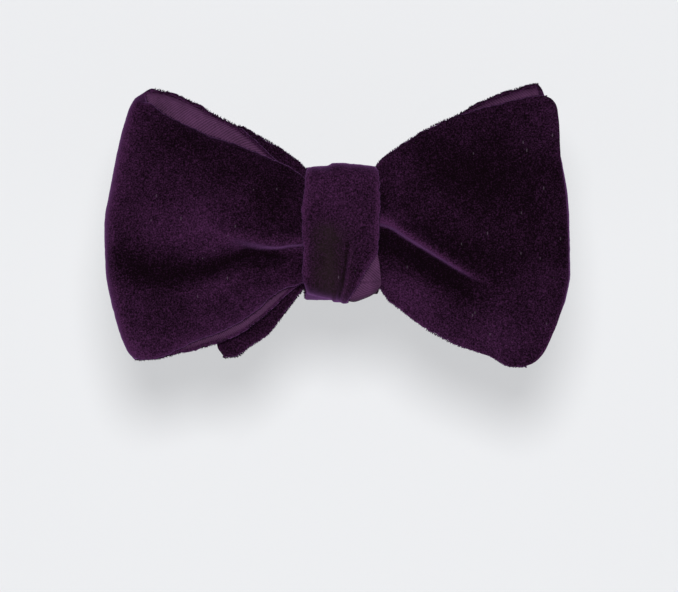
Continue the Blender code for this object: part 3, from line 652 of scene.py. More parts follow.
def grouped(tree, group, vector, **values):
    """A shared effect at work in a material, with its amounts set by name."""
    made = tree.nodes.new("ShaderNodeGroup")
    made.node_tree = group
    for name, value in (("Vector", vector), *values.items()):
        fed(tree, made.inputs[name.replace("_", " ")], value)
    return made


def bumped(tree, height, surface, strength, distance):
    """Tilts a surface's normal by a height; the distance is in metres."""
    bump_node = add(tree, "ShaderNodeBump", Height=height, Strength=strength, Distance=distance)
    fed(tree, surface.inputs["Normal"], bump_node.outputs["Normal"])


def blank(name, **values):
    """A new material, its node tree and its surface, with the surface's values set by name."""
    material = bpy.data.materials.new(name)
    material.use_nodes = True
    surface = material.node_tree.nodes["Principled BSDF"]
    for label, value in values.items():
        surface.inputs[label.replace("_", " ")].default_value = value
    return material, material.node_tree, surface


def velvet():
    """The pile: dark, lightened by carried tone and painted light, a painted sheen edge-on, and lint."""
    found = bpy.data.materials.get("velvet pile")
    if found:
        return found
    tie = bpy.context.scene.bow_tie
    material, tree, surface = blank("velvet pile", Roughness=1.0, Specular_IOR_Level=0.0, Sheen_Weight=0.06,
                                    Sheen_Roughness=0.35, Sheen_Tint=SHEEN_TINT)
    where = object_space(tree)
    mottle = grouped(tree, mottle_effect(), where, Tuft_Scale=2500.0, Patch_Scale=420.0, Tuft_Amount=2.1,
                     Patch_Amount=0.30)
    # The pile tone and painted light carried on the mesh, with mottle, mix the shadow and light colours
    light = maths(tree, "ADD", mark(tree, "nap"), mottle.outputs["Value"])
    light = maths(tree, "POWER", maths(tree, "MAXIMUM", light, 0.0), 1.7)
    colour = mixed(tree, light, tie.velvet_dark, tie.velvet_light)
    colour = mixed(tree, mark(tree, "rubbed"), colour, tie.velvet_rubbed)
    # Painted sheen: the colour goes toward the sheen colour where the surface is seen edge-on
    edge = add(tree, "ShaderNodeLayerWeight", Blend=0.5).outputs["Facing"]
    painted_sheen = maths(tree, "MULTIPLY", maths(tree, "POWER", edge, 3.0), 0.95)
    colour = mixed(tree, painted_sheen, colour, tie.velvet_painted_sheen)
    colour = mixed(tree, grouped(tree, lint_effect(), where).outputs["Value"], colour, tie.lint_colour)
    fed(tree, surface.inputs["Base Color"], colour)
    bumped(tree, mottle.outputs["Height"], surface, 0.5, 0.0003)
    return material


def nap_fringe():
    """The same pile seen on end, for the tufts along an edge."""
    found = bpy.data.materials.get("velvet nap")
    if found:
        return found
    tie = bpy.context.scene.bow_tie
    material, tree, surface = blank("velvet nap", Roughness=1.0, Specular_IOR_Level=0.0, Sheen_Weight=0.04,
                                    Sheen_Roughness=0.4, Sheen_Tint=SHEEN_TINT)
    mottle = grouped(tree, mottle_effect(), object_space(tree), Tuft_Scale=1200.0, Patch_Scale=200.0,
                     Patch_Amount=0.6)
    # The tufts' carried tone holds painted shade, darker toward the back
    light = maths(tree, "MAXIMUM", maths(tree, "ADD", mottle.outputs["Value"], mark(tree, "nap")), 0.0)
    fed(tree, surface.inputs["Base Color"], mixed(tree, light, tie.velvet_dark, tie.velvet_light))
    return material


def woven(name, colour, ribs, roughness, depth, shade, mapped=True):
    """A woven cloth whose ribs follow the piece's own map in centimetres, or its own axes.

    ribs is their number per centimetre, depth their height in metres and shade how dark lies between them.
    """
    found = bpy.data.materials.get(name)
    if found:
        return found
    material, tree, surface = blank(name, Roughness=roughness, Specular_IOR_Level=0.03)
    where = object_space(tree)
    if mapped:
        cloth_map = tree.nodes.new("ShaderNodeUVMap")
        cloth_map.uv_map = "cloth"
        along = cloth_map.outputs["UV"]
    else:
        along = scaled(tree, where, (100.0, 100.0, 100.0))
    weave = grouped(tree, twill_effect(), along, Ribs_Per_Centimetre=ribs)
    mottle = grouped(tree, mottle_effect(), where, Tuft_Scale=1900.0, Patch_Scale=240.0, Tuft_Amount=0.7,
                     Patch_Amount=0.8)
    rib_light = maths(tree, "MULTIPLY", weave.outputs["Value"], shade)
    light = maths(tree, "ADD", rib_light, mottle.outputs["Value"])
    light = maths(tree, "MAXIMUM", maths(tree, "ADD", light, 0.5 - shade / 2), 0.0)
    dark = [c * 0.45 for c in colour]
    bright = [min(1.0, c * 1.5) for c in colour]
    fed(tree, surface.inputs["Base Color"], mixed(tree, light, dark, bright))
    bumped(tree, weave.outputs["Value"], surface, 0.6, depth)
    return material


def lining_cloth():
    colour = bpy.context.scene.bow_tie.lining_colour
    return woven("twill lining", colour, ribs=19.0, roughness=0.6, depth=0.00008, shade=0.60)


def interlining_cloth():
    colour = bpy.context.scene.bow_tie.interlining_colour
    return woven("canvas interlining", colour, ribs=8.0, roughness=0.9, depth=0.0002, shade=0.5)


def sewing_thread():
    colour = bpy.context.scene.bow_tie.thread_colour
    return woven("sewing thread", colour, ribs=12.0, roughness=0.6, depth=0.00025, shade=0.7, mapped=False)


def satin_metal():
    """Satin nickel, slightly worn, for the clasp and the slider."""
    found = bpy.data.materials.get("satin nickel")
    if found:
        return found
    tie = bpy.context.scene.bow_tie
    material, tree, surface = blank("satin nickel", Metallic=1.0, Specular_IOR_Level=0.5)
    wear = grouped(tree, mottle_effect(), object_space(tree), Tuft_Scale=2600.0, Patch_Scale=180.0,
                   Tuft_Amount=0.25, Patch_Amount=0.5)
    worn = maths(tree, "ADD", wear.outputs["Value"], 0.5)
    dull = [c * 0.78 for c in tie.metal_colour]
    fed(tree, surface.inputs["Base Color"], mixed(tree, worn, dull, tie.metal_colour))
    fed(tree, surface.inputs["Roughness"], maths(tree, "ADD", maths(tree, "MULTIPLY", worn, 0.16), 0.24))
    bumped(tree, wear.outputs["Height"], surface, 0.12, 0.00005)
    return material


# ---------------------------------------------------------------- pieces of the tied bow

def placed(obj, slot, body, *nodes):
    """Rides a finished piece on its body and hides the plain pieces it stands for."""
    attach(obj, body)
    if nodes:
        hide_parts(*nodes)


def widened(grid, by):
    """The same grid with its two long edges carried out by a little."""
    grid = grid.copy()
    for edge, inner in ((0, 1), (-1, -2)):
        grid[:, edge] += unit(grid[:, edge] - grid[:, inner]) * by
    return grid


def tied_strip(prefix, front, rows, level, sideways_painted_sheen, lobes, seed):
    """One doubled strip of the bow: velvet with turned edges, its interlining, lining and nap."""
    face = strip_rows(front, rows)
    middle = rows[0] + rows[1] + rows[2] // 2
    normals = facing_normals(face, middle, rows[4] // 2, FORWARD)
    cloth = turned_edges(rounded_end(face, normals), normals)
    cloth_normals = facing_normals(cloth, middle, cloth.shape[1] // 2, FORWARD)
    cloth = pile(cloth, cloth_normals, seed)
    # Pile tone with painted shade where faces turn up and painted sheen where they turn aside
    nap = pile_tone_and_painted_light(cloth, cloth_normals, level, STRIP_UPWARD_PAINTED_SHADE, sideways_painted_sheen, lobes)
    if front:
        # The pleats' painted highlights and painted shade, on faces turned toward the front
        x, z = cloth[:, :, 0], cloth[:, :, 2]
        facing_out = smooth((-cloth_normals[:, :, 1] - 0.1) / 0.4)
        crease = np.where(x < 0, pleat_nap(-1, -x, z), pleat_nap(1, x, z))
        nap = nap + crease * facing_out
    # Painted highlight along the edges and the loop's fold
    nap = nap + EDGE_PAINTED_HIGHLIGHT * painted_edge_highlight(cloth, EDGE_REACH, rows[0] + rows[1] + rows[2])
    nap = np.clip(nap, 0.0, 1.0)
    made = [shell(f"{prefix}_pile", cloth, cloth_normals, *VELVET, velvet(), nap=nap)]
    stop, width = len(face) - END_ROWS_OFF, face.shape[1]
    part = (slice(0, stop, 2), slice(2, width - 2, 2))
    made.append(shell(f"{prefix}_canvas", face[part], normals[part], *INTERLINING, interlining_cloth()))
    part = (slice(0, stop, 2), slice(0, width, 2))
    grid = widened(face[part], LINING_OUT)
    made.append(shell(f"{prefix}_backing", grid, normals[part], *LINING, lining_cloth()))
    made.append(edge_tufts(f"{prefix}_nap", face, normals, seed + 7))
    return made


def knot_path(count):
    """The knot's turn seen from the side, as even (depth, height) steps: up the front and round."""
    d0, d1, z0, z1 = KNOT_BACK, KNOT_FRONT, KNOT_BOTTOM, KNOT_TOP
    front, back = KNOT_FRONT_CORNER, KNOT_BACK_CORNER
    line = [(d1 + 0.6 * math.sin(math.pi * t), (z0 + front) * (1 - t) + (z1 - front) * t)
            for t in np.linspace(0, 1, 30)]
    for cd, cz, r, first in ((d1 - front, z1 - front, front, 0), (d0 + back, z1 - back, back, 90),
                             (d0 + back, z0 + back, back, 180), (d1 - front, z0 + front, front, 270)):
        turn = np.radians(np.linspace(first, first + 90, 14))
        line += [(cd + r * math.cos(a), cz + r * math.sin(a)) for a in turn]
    line = np.array(line + line[:1])
    run = np.concatenate([[0], np.cumsum(np.linalg.norm(np.diff(line, axis=0), axis=1))])
    s = np.linspace(0, run[-1], count + 1)[:-1]
    return np.interp(s, run, line[:, 0]), np.interp(s, run, line[:, 1])


# Outlines of the knot: its two velvet edges, its bared lining, and how far its hem and brow rise
KNOT_RIGHT_EDGE = curve((-18.4, 0.6), (-17.4, 1.7), (-15.2, 3.7), (-10.9, 6.1), (-7.0, 8.4), (-4.4, 9.6),
                        (-1.0, 9.9), (10, 9.9), (18, 9.2))
KNOT_LINING_EDGE = curve((-18.4, 10.4), (-17.4, 11.0), (-15, 11.5), (-11, 11.2), (-6, 10.3), (0, 9.5),
                         (18, 8.8))
KNOT_LEFT_EDGE = curve((-18, 8.9), (-14, 9.5), (-4, 9.6), (2, 9.9), (9, 9.7), (14, 9.3), (18, 8.6))
KNOT_CREASE = curve((-18, -0.8), (-16.3, -0.4), (-13.5, 0.4), (-4.9, 1.6), (2, 2.4))
KNOT_HEM = curve((-9.5, 1.8), (-8, 1.1), (-5, 0.8), (-2.8, 0.5), (-1.6, -0.5), (2, -0.6), (5, -0.3),
                 (8, 0.7), (10.5, 2.8))
LINING_HEM = curve((-10, 0.5), (-2, 0.3), (1, -1.6), (3.5, -2.05), (6.6, -1.35), (8.2, -0.9), (9.7, -0.3),
                   (10.5, 0.2))
KNOT_BROW = curve((-9, 0.0), (-3.2, 0.1), (-2.2, 0.9), (0.5, 1.1), (3, 0.7), (9, 0.5))
# A row of the knot's grid that lies on its front
KNOT_ROW = 5


def knot_face(count, cols, cut_back):
    """The knot's outer face as a closed grid. cut_back stops it where the velvet bares the lining."""
    d, z = (line[:, None] + np.zeros((1, cols)) for line in knot_path(count))
    u = np.linspace(-1, 1, cols)[None, :]
    if cut_back:
        right = np.where(d > 12, KNOT_RIGHT_EDGE(z), 0.6 + 8.6 * smooth((z + 17.6) / 30))
        right = right + 0.30 * ripple(z, z * 0.0 + 5.0, 2.4, 24) * smooth((z + 6) / 5)
        left = KNOT_LEFT_EDGE(z) + 0.25 * ripple(z, z * 0.0, 3.1, 23)
    else:
        right = KNOT_LINING_EDGE(z) * np.where(d > 12, 1.0, 0.92)
        left = KNOT_LEFT_EDGE(z) - 0.6
    x = np.where(u < 0, u * (left - EDGE_RADIUS), u * (right - EDGE_RADIUS))
    points = np.stack([x, -d, z], 2)
    normals = facing_normals(points, KNOT_ROW, cols // 2, FORWARD, closed=True)
    front = smooth((d - 13) / 6)
    low = smooth((-2 - z) / 5)
    crease = KNOT_CREASE(z)
    lift = -0.8 * (np.abs(x) / 9.8) ** 3 * smooth((d - 4) / 8)
    if cut_back:
        lift = lift + front * low * (-0.65 * bump(x, crease, 0.7) + 0.35 * bump(x, crease - 3.0, 2.0))
        lift = lift + front * low * 0.55 * bump(x, crease + 1.7, 1.2)
    lift = lift - front * 0.3 * bump(x, -4.4, 1.5) * smooth((z - 4) / 9)
    lift = lift + 0.24 * front * ripple(x, z, 4.2, 21)
    points = points + normals * lift[:, :, None]
    hem = KNOT_HEM(x) if cut_back else LINING_HEM(x)
    rise = hem * smooth((-11 - z) / 6) + KNOT_BROW(x) * smooth((z - 10) / 6) * 0.5
    points[:, :, 2] += rise * smooth((d - 5) / 8)
    return points, facing_normals(points, KNOT_ROW, cols // 2, FORWARD, closed=True)


def knot_turn(lobes):
    """The turn round the bow's middle: velvet, interlining, lining and nap."""
    rows, cols = 200, 37
    face, normals = knot_face(rows, cols, True)
    cloth = turned_edges(face, normals)
    cloth_normals = facing_normals(cloth, KNOT_ROW, cloth.shape[1] // 2, FORWARD, closed=True)
    cloth = pile(cloth, cloth_normals, 60)
    # On the knot the upward painted shade is negative, so its top is painted lighter
    nap = pile_tone_and_painted_light(cloth, cloth_normals, level=0.45, upward_painted_shade=-0.10, sideways_painted_sheen=0.1, lobes=lobes)
    x, z = cloth[:, :, 0], cloth[:, :, 2]
    across = np.abs(np.linspace(-1, 1, cloth.shape[1]))[None, :]
    # Painted highlight toward the knot's two side edges
    nap = nap + 0.30 * smooth((across - 0.60) / 0.16)
    ahead = smooth((-cloth_normals[:, :, 1] - 0.3) / 0.4)
    # Painted highlight beside the knot's crease and painted shade in it, low on its front
    low = smooth((-2 - z) / 3) * ahead
    nap = nap + low * (0.22 * bump(x, KNOT_CREASE(z) + 1.0, 0.5) - 0.28 * bump(x, KNOT_CREASE(z), 0.5))
    nap = np.clip(nap, 0.0, 1.0)
    rubbed = 0.72 * ahead * bump(x, -3.2, 4.2) * smooth((4.5 - z) / 5) * (1 - smooth((across - 0.55) / 0.2))
    rubbed = rubbed * (0.75 + 0.25 * ripple(x, z, 2.2, 72))
    made = [shell("knot_turn_pile", cloth, cloth_normals, *VELVET, velvet(), closed=True, nap=nap,
                  rubbed=np.clip(rubbed, 0.0, 1.0))]
    inner = slice(6, -6)
    made.append(shell("knot_turn_canvas", face[:, inner], normals[:, inner], *KNOT_CANVAS,
                      interlining_cloth(), closed=True))
    full, full_normals = knot_face(rows, cols, False)
    made.append(shell("knot_turn_backing", full, full_normals, *KNOT_LINING, lining_cloth(), closed=True))
    ring = np.concatenate([face, face[:1]])
    made.append(edge_tufts("knot_turn_nap", ring, np.concatenate([normals, normals[:1]]), 71))
    return made


# ---------------------------------------------------------------- pieces of the neck band

def band_path(side, places):
    """Points and outward directions on the band's inner face, by length from the middle of the seat."""
    out = []
    for s in places:
        if s <= ARC_CENTRE_X:
            p, n = (s, 0.0), (0.0, -1.0)
        elif s <= ARC_CENTRE_X + QUARTER:
            a = (s - ARC_CENTRE_X) / ARC_RADIUS
            n = (math.sin(a), -math.cos(a))
            p = (ARC_CENTRE_X + ARC_RADIUS * n[0], SIDE_START + ARC_RADIUS * n[1])
        elif s <= ARC_CENTRE_X + QUARTER + SIDE_RUN:
            n = (1.0, 0.0)
            p = (ARC_CENTRE_X + ARC_RADIUS, SIDE_START + s - ARC_CENTRE_X - QUARTER)
        else:
            a = (s - ARC_CENTRE_X - QUARTER - SIDE_RUN) / ARC_RADIUS
            n = (math.cos(a), math.sin(a))
            p = (ARC_CENTRE_X + ARC_RADIUS * n[0], SIDE_END + ARC_RADIUS * n[1])
        out.append((side * p[0], p[1], side * n[0], n[1]))
    return np.array(out)


def ribbon_face(path, offset, cols):
    """A grid on edge along a path, with its normals: the face of a plain strip."""
    half = BAND_HALF_HEIGHT - BAND_EDGE_RADIUS
    z = np.linspace(-half, half, cols)
    x = path[:, 0] + path[:, 2] * offset
    y = path[:, 1] + path[:, 3] * offset
    shape = (len(path), cols)
    points = np.stack([np.broadcast_to(x[:, None], shape), np.broadcast_to(y[:, None], shape),
                       np.broadcast_to(z[None, :], shape)], 2)
    normals = np.stack([np.broadcast_to(path[:, 2:3], shape), np.broadcast_to(path[:, 3:4], shape),
                        np.zeros(shape)], 2)
    return points, normals


def strap(prefix, path, layers, seed, radius=BAND_EDGE_RADIUS, thickness=BAND_THICKNESS):
    """A velvet strap on its edge: pile outside with turned edges, canvas and lining inside."""
    face, normals = ribbon_face(path, thickness, cols=34)
    turn = BAND_EDGE_TURN * radius / BAND_EDGE_RADIUS
    cloth = turned_edges(face, normals, radius, turn, BAND_EDGE_WANDER)
    row = len(path) // 2
    cloth_normals = facing_normals(cloth, row, cloth.shape[1] // 2, normals[row, 0])
    cloth = pile(cloth, cloth_normals, seed)
    stroked = ripple(cloth[:, :, 0] + cloth[:, :, 1], cloth[:, :, 2], 8.0, seed)
    nap = np.clip(0.35 + 0.3 * stroked, 0, 1)
    made = [shell(f"{prefix}_pile", cloth, cloth_normals, *layers["pile"], velvet(), nap=nap)]
    for layer, inset, material in (("canvas", 2, interlining_cloth()), ("backing", 1, lining_cloth())):
        if layer in layers:
            part = (slice(None), slice(inset, -inset))
            made.append(shell(f"{prefix}_{layer}", face[part], normals[part], *layers[layer], material))
    return made


def tail_path(side, back):
    """Round the clasp's bar and back along the inside of the band."""
    bar = (side * ARC_CENTRE_X, SIDE_END + ARC_RADIUS - BIGHT_RADIUS)
    turn = []
    for a in np.radians(np.linspace(90, -90, 19)):
        n = (-side * math.cos(a), math.sin(a))
        turn.append((bar[0] + BIGHT_RADIUS * n[0], bar[1] + BIGHT_RADIUS * n[1], *n))
    places = np.linspace(BAND_LENGTH, BAND_LENGTH - back, max(12, int(back / 0.8)))[1:]
    run = band_path(side, places)
    shift = 2 * BIGHT_RADIUS
    inner = [(x - nx * shift, y - ny * shift, -nx, -ny) for x, y, nx, ny in run]
    return np.array(turn + inner)


# ---------------------------------------------------------------- settings

def colour_setting(name, description, *rgb):
    """A colour that the panel shows."""
    return bpy.props.FloatVectorProperty(name=name, description=description, subtype="COLOR", default=rgb)


def length_setting(name, description, metres, **limits):
    """A length in metres that the panel shows."""
    return bpy.props.FloatProperty(name=name, description=description, default=metres, unit="LENGTH",
                                   **limits)


class BowTieSettings(bpy.types.PropertyGroup):
    velvet_dark: colour_setting(
        "Velvet shadow", "Colour of the pile where it leans away from the light", 0.0027, 0.0011, 0.0021)
    # The light end of the mix by pile tone and painted light, so it also gives the painted highlights
    velvet_light: colour_setting(
        "Velvet light", "Colour of the pile where it has been stroked up", 0.043, 0.0118, 0.043)
    # Painted sheen colour, mixed in where the pile is seen edge-on
    velvet_painted_sheen: colour_setting(
        "Velvet rim", "Colour of the pile where it is seen along a turned edge", 0.22, 0.085, 0.27)
    velvet_rubbed: colour_setting(
        "Rubbed velvet", "Colour of the pile where it has been rubbed flat and dull", 0.0125, 0.0078, 0.0086)
    lint_colour: colour_setting("Lint", "Colour of the specks of lint on the pile", 0.16, 0.13, 0.16)
    lining_colour: colour_setting("Lining", "Colour of the twill lining", 0.047, 0.0165, 0.045)
    interlining_colour: colour_setting(
        "Interlining", "Colour of the canvas between velvet and lining", 0.55, 0.52, 0.46)
    thread_colour: colour_setting("Thread", "Colour of the bar tacks", 0.030, 0.010, 0.030)
    metal_colour: colour_setting("Metal", "Colour of the hook, eye and slider", 0.66, 0.64, 0.61)
    tuft_length: length_setting(
        "Tuft length", "How far the pile stands out at an edge", 0.0005, min=0.0001, max=0.002)
    tufts_per_mm: bpy.props.FloatProperty(
        name="Tufts per millimetre", description="How thickly the pile stands along an edge", default=10.0,
        min=0.0, max=20.0)


class BowTieStage(bpy.types.PropertyGroup):
    backdrop_colour: colour_setting("Backdrop", "Colour of the lit backdrop", 0.8308, 0.8388, 0.8550)
    wall_depth: length_setting("Wall depth", "How far the backdrop stands behind the bow", 0.165)
    floor_height: length_setting("Floor height", "Height of the floor", -0.130)
    camera_distance: length_setting(
        "Camera distance", "How far in front of the bow the camera stands", 0.985)
    view_width: length_setting("View width", "Width that the camera sees at the bow", 0.1742)
    lamp_size: length_setting("Lamp size", "Width of the round lamp", 0.120)
    lamp_lift: length_setting("Lamp lift", "How far the lamp stands above the camera", 0.101)
    lamp_power: bpy.props.FloatProperty(
        name="Lamp power", description="Strength of the lamp in watts", default=12.0, unit="POWER")


# ---------------------------------------------------------------- operators

def finish_bow_cloth(pieces, node):
    for piece, slot in zip(pieces, SLOTS):
        placed(piece, slot, "bow", f"{node}_{slot}")
    placed(pieces[3], "velvet", "bow")


class BOWTIE_OT_front_strip(bpy.types.Operator):
    """The strip tied in front: its loop on the left, its cut blade on the right"""
    bl_idname = "bow_tie.front_strip"
    bl_label = "Front strip"

    def execute(self, context):
        lobes = ((-38, 3, 14, 6, 0.17), (-44, -20, 12, 7, -0.10), (-48, -31, 12, 4, 0.10),
                 (-17, 9, 8, 7, -0.23),
                 (-20, 26, 12, 8, -0.12), (-19, -11, 8, 4.5, -0.20), (-40, 22, 8, 8, -0.05),
                 (36, 14, 18, 12, -0.27), (14, 12, 6, 7, 0.03), (18, -16, 9, 5, 0.22),
                 (38, -27, 16, 6, 0.06), (34, -7, 14, 8, -0.24), (29.5, -9.4, 2.5, 1.5, 0.14),
                 (51, 2, 7, 16, -0.12), (58, 0, 3, 18, -0.18))
        pieces = tied_strip("front_strip", front=True, rows=(80, 18, 84, 96, 118), level=0.37,
                            sideways_painted_sheen=0.34, lobes=lobes, seed=30)
        finish_bow_cloth(pieces, "front_strip")
        return {"FINISHED"}


class BOWTIE_OT_rear_strip(bpy.types.Operator):
    """The strip tied behind: its loop on the right, its cut blade on the left"""
    bl_idname = "bow_tie.rear_strip"
    bl_label = "Rear strip"

    def execute(self, context):
        lobes = ((58, 0, 5, 22, -0.12), (-26, 24, 8, 8, -0.12))
        pieces = tied_strip("rear_strip", front=False, rows=(80, 18, 80, 60, 112), level=0.32,
                            sideways_painted_sheen=0.06, lobes=lobes, seed=40)
        finish_bow_cloth(pieces, "rear_strip")
        return {"FINISHED"}


class BOWTIE_OT_knot(bpy.types.Operator):
    """The turn of cloth round the middle of the bow"""
    bl_idname = "bow_tie.knot"
    bl_label = "Knot"

    def execute(self, context):
        lobes = ((-4, -7, 4, 7, -0.14), (-3, 12, 8, 7, 0.12), (4, -10, 3, 6, -0.06))
        finish_bow_cloth(knot_turn(lobes), "knot")
        return {"FINISHED"}


class BOWTIE_OT_neck_band(bpy.types.Operator):
    """The band round the neck: the part that stays with the bow and its two sides"""
    bl_idname = "bow_tie.neck_band"
    bl_label = "Neck band"

    def execute(self, context):
        end = ARC_CENTRE_X + QUARTER
        half = np.append(np.linspace(0, end - JOIN - END_ROW, 150), end - JOIN)
        front = np.concatenate([band_path(-1, half[:0:-1]), band_path(1, half)])
        for piece, slot in zip(strap("collar_band", front, BAND_LAYERS, BAND_SEED), SLOTS):
            placed(piece, slot, "bow", "collar_band_" + slot)
        for side, name in ((-1, "left_band"), (1, "right_band")):
            rest = np.linspace(end - JOIN + END_ROW, BAND_LENGTH - BIGHT_GAP, 170)
            path = band_path(side, np.append(end - JOIN, rest))
            for piece, slot in zip(strap(name, path, BAND_LAYERS, BAND_SEED), SLOTS):
                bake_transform(piece)
                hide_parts(f"{name}_{slot}")
        return {"FINISHED"}


class BOWTIE_OT_tails(bpy.types.Operator):
    """The ends of the band, turned round the clasp's two bars and laid back inside"""
    bl_idname = "bow_tie.tails"
    bl_label = "Band tails"

    def execute(self, context):
        left_back = BAND_LENGTH - (ARC_CENTRE_X + QUARTER + TAIL_FREE_END - SIDE_START)
        for side, name, back, seed in ((-1, "left", left_back, 110), (1, "right", RIGHT_TAIL_BACK, 120)):
            layers = strap(f"{name}_tail", tail_path(side, back), TAIL_LAYERS, seed, TAIL_EDGE_RADIUS,
                           TAIL_THICKNESS)
            for piece, slot in zip(layers, ("velvet", "lining")):
                placed(piece, slot, f"{name}_band", f"{name}_tail_{slot}")
        return {"FINISHED"}


class BOWTIE_OT_hardware(bpy.types.Operator):
    """The slider, the eye, the hook and the bar tacks"""
    bl_idname = "bow_tie.hardware"
    bl_label = "Clasp and tacks"

    def execute(self, context):
        metal, thread = satin_metal(), sewing_thread()
        for name, material in (("slider", metal), ("eye", metal), ("hook", metal),
                               ("tail_stop_tack", thread), ("right_bar_tack", thread)):
            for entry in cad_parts[name].material_slots:
                entry.material = material
        return {"FINISHED"}


class BOWTIE_OT_stage(bpy.types.Operator):
    """A pale backdrop, soft studio light and the camera"""
    bl_idname = "bow_tie.stage"
    bl_label = "Stage"

    def execute(self, context):
        build_stage(context.scene)
        return {"FINISHED"}


# The stage, in metres: the paper's size, its height behind, its corner, and a small allowance
SWEEP_SIZE, WALL_HEIGHT, SWEEP_CORNER, NEAR_ENOUGH = 3.0, 2.0, 0.018, 0.001
# The place the camera faces, its sensor's width in millimetres, and the strength of the light all round
AIM, SENSOR_WIDTH, SOFT_LIGHT = (-0.0004, -0.015, -0.0163), 36.0, 0.25


def backdrop_paper(stage):
    """Even pale paper, partly lit from inside; its back lets the view through."""
    material, tree, surface = blank("backdrop paper", Roughness=1.0, Specular_IOR_Level=0.0)
    surface.inputs["Base Color"].default_value = (0.300, 0.303, 0.309, 1.0)
    surface.inputs["Emission Color"].default_value = (*stage.backdrop_colour, 1.0)
    surface.inputs["Emission Strength"].default_value = 0.56
    clear = tree.nodes.new("ShaderNodeBsdfTransparent").outputs[0]
    back = tree.nodes.new("ShaderNodeNewGeometry").outputs["Backfacing"]
    seen = either(tree, back, surface.outputs[0], clear)
    fed(tree, tree.nodes["Material Output"].inputs["Surface"], seen)
    return material


def select_edges(mesh, wanted):
    """Selects, in object mode, only the edges whose two ends are both wanted."""
    bpy.ops.object.mode_set(mode="EDIT")
    bpy.ops.mesh.select_all(action="DESELECT")
    bpy.ops.object.mode_set(mode="OBJECT")
    for edge in mesh.edges:
        edge.select = all(wanted(mesh.vertices[i].co) for i in edge.vertices)
    bpy.ops.object.mode_set(mode="EDIT")


def paper_sweep(stage):
    """A sheet that runs along the floor and turns up behind the bow."""
    deselect()
    middle = stage.wall_depth - SWEEP_SIZE / 2
    bpy.ops.mesh.primitive_plane_add(size=SWEEP_SIZE, location=(0, middle, stage.floor_height))
    paper = bpy.context.object
    paper.name = "backdrop"
    bpy.ops.object.transform_apply(location=True, rotation=True, scale=True)
    far = stage.wall_depth - NEAR_ENOUGH
    low = stage.floor_height + NEAR_ENOUGH
    select_edges(paper.data, lambda place: place.y > far)
    bpy.ops.mesh.extrude_region_move(TRANSFORM_OT_translate={"value": (0, 0, WALL_HEIGHT)})
    select_edges(paper.data, lambda place: place.y > far and place.z < low)
    bpy.ops.mesh.bevel(offset=SWEEP_CORNER, segments=8)
    bpy.ops.mesh.select_all(action="SELECT")
    bpy.ops.object.mode_set(mode="OBJECT")
    bpy.ops.object.shade_smooth()
    paper.data.materials.append(backdrop_paper(stage))


def camera_and_lamp(scene, stage):
    """A level camera that faces the bow, and a round lamp above it."""
    centre = (AIM[0], AIM[1] - stage.camera_distance, AIM[2])
    camera = bpy.data.objects.new("camera", bpy.data.cameras.new("camera"))
    camera.data.sensor_width = SENSOR_WIDTH
    camera.data.lens = SENSOR_WIDTH * stage.camera_distance / stage.view_width
    camera.data.clip_start = 0.01
    camera.location = centre
    camera.rotation_euler = (math.pi / 2, 0, 0)
    scene.collection.objects.link(camera)
    scene.camera = camera

    lamp = bpy.data.objects.new("lamp", bpy.data.lights.new("lamp", "AREA"))
    lamp.data.shape = "DISK"
    lamp.data.size = stage.lamp_size
    lamp.data.energy = stage.lamp_power
    lamp.location = (centre[0], centre[1], centre[2] + stage.lamp_lift)
    lamp.rotation_euler = (math.pi / 2 - math.atan(stage.lamp_lift / stage.camera_distance), 0, 0)
    lamp.visible_camera = False
    scene.collection.objects.link(lamp)


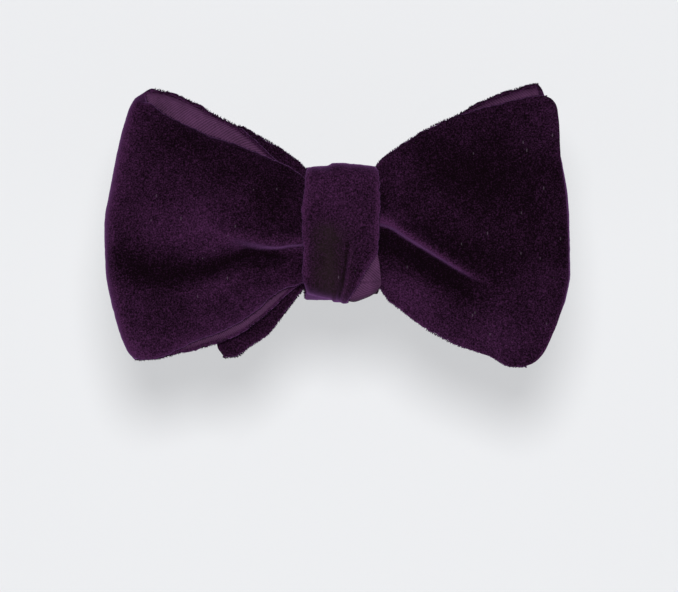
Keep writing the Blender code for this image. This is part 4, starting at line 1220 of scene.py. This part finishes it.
def soft_world(scene, stage):
    """Weak even light from all round, behind which the camera sees the backdrop's colour."""
    world = bpy.data.worlds.new("soft light")
    world.use_nodes = True
    tree = world.node_tree
    colour = (*stage.backdrop_colour, 1.0)
    soft = tree.nodes["Background"]
    soft.inputs["Color"].default_value = colour
    soft.inputs["Strength"].default_value = SOFT_LIGHT
    seen = add(tree, "ShaderNodeBackground", Strength=1.0, Color=colour)
    by_camera = tree.nodes.new("ShaderNodeLightPath").outputs["Is Camera Ray"]
    shown = either(tree, by_camera, soft.outputs[0], seen.outputs[0])
    fed(tree, tree.nodes["World Output"].inputs["Surface"], shown)
    scene.world = world


def build_stage(scene):
    """The backdrop, camera, lamp and soft light, and how colours are shown."""
    stage = scene.bow_tie_stage
    paper_sweep(stage)
    camera_and_lamp(scene, stage)
    soft_world(scene, stage)
    scene.view_settings.view_transform = "Standard"
    scene.view_settings.look = "None"


class BOWTIE_PT_pieces(bpy.types.Panel):
    """The bow tie's settings and the buttons that build it"""
    bl_label = "Bow Tie"
    bl_idname = "BOWTIE_PT_pieces"
    bl_space_type = "VIEW_3D"
    bl_region_type = "UI"
    bl_category = "Bow Tie"

    def draw(self, context):
        for settings in (context.scene.bow_tie, context.scene.bow_tie_stage):
            column = self.layout.column()
            for name in settings.__annotations__:
                column.prop(settings, name)
        for operator in OPERATORS:
            self.layout.operator(operator.bl_idname)


OPERATORS = (BOWTIE_OT_front_strip, BOWTIE_OT_rear_strip, BOWTIE_OT_knot, BOWTIE_OT_neck_band,
             BOWTIE_OT_tails, BOWTIE_OT_hardware, BOWTIE_OT_stage)
CLASSES = (BowTieSettings, BowTieStage, *OPERATORS, BOWTIE_PT_pieces)


def register():
    for made in CLASSES:
        bpy.utils.register_class(made)
    bpy.types.Scene.bow_tie = bpy.props.PointerProperty(type=BowTieSettings)
    bpy.types.Scene.bow_tie_stage = bpy.props.PointerProperty(type=BowTieStage)


def unregister():
    del bpy.types.Scene.bow_tie_stage
    del bpy.types.Scene.bow_tie
    for made in reversed(CLASSES):
        bpy.utils.unregister_class(made)


def main():
    register()
    for step in (bpy.ops.bow_tie.front_strip, bpy.ops.bow_tie.rear_strip, bpy.ops.bow_tie.knot,
                 bpy.ops.bow_tie.neck_band, bpy.ops.bow_tie.tails, bpy.ops.bow_tie.hardware,
                 bpy.ops.bow_tie.stage):
        step()


if __name__ == "__main__":
    main()
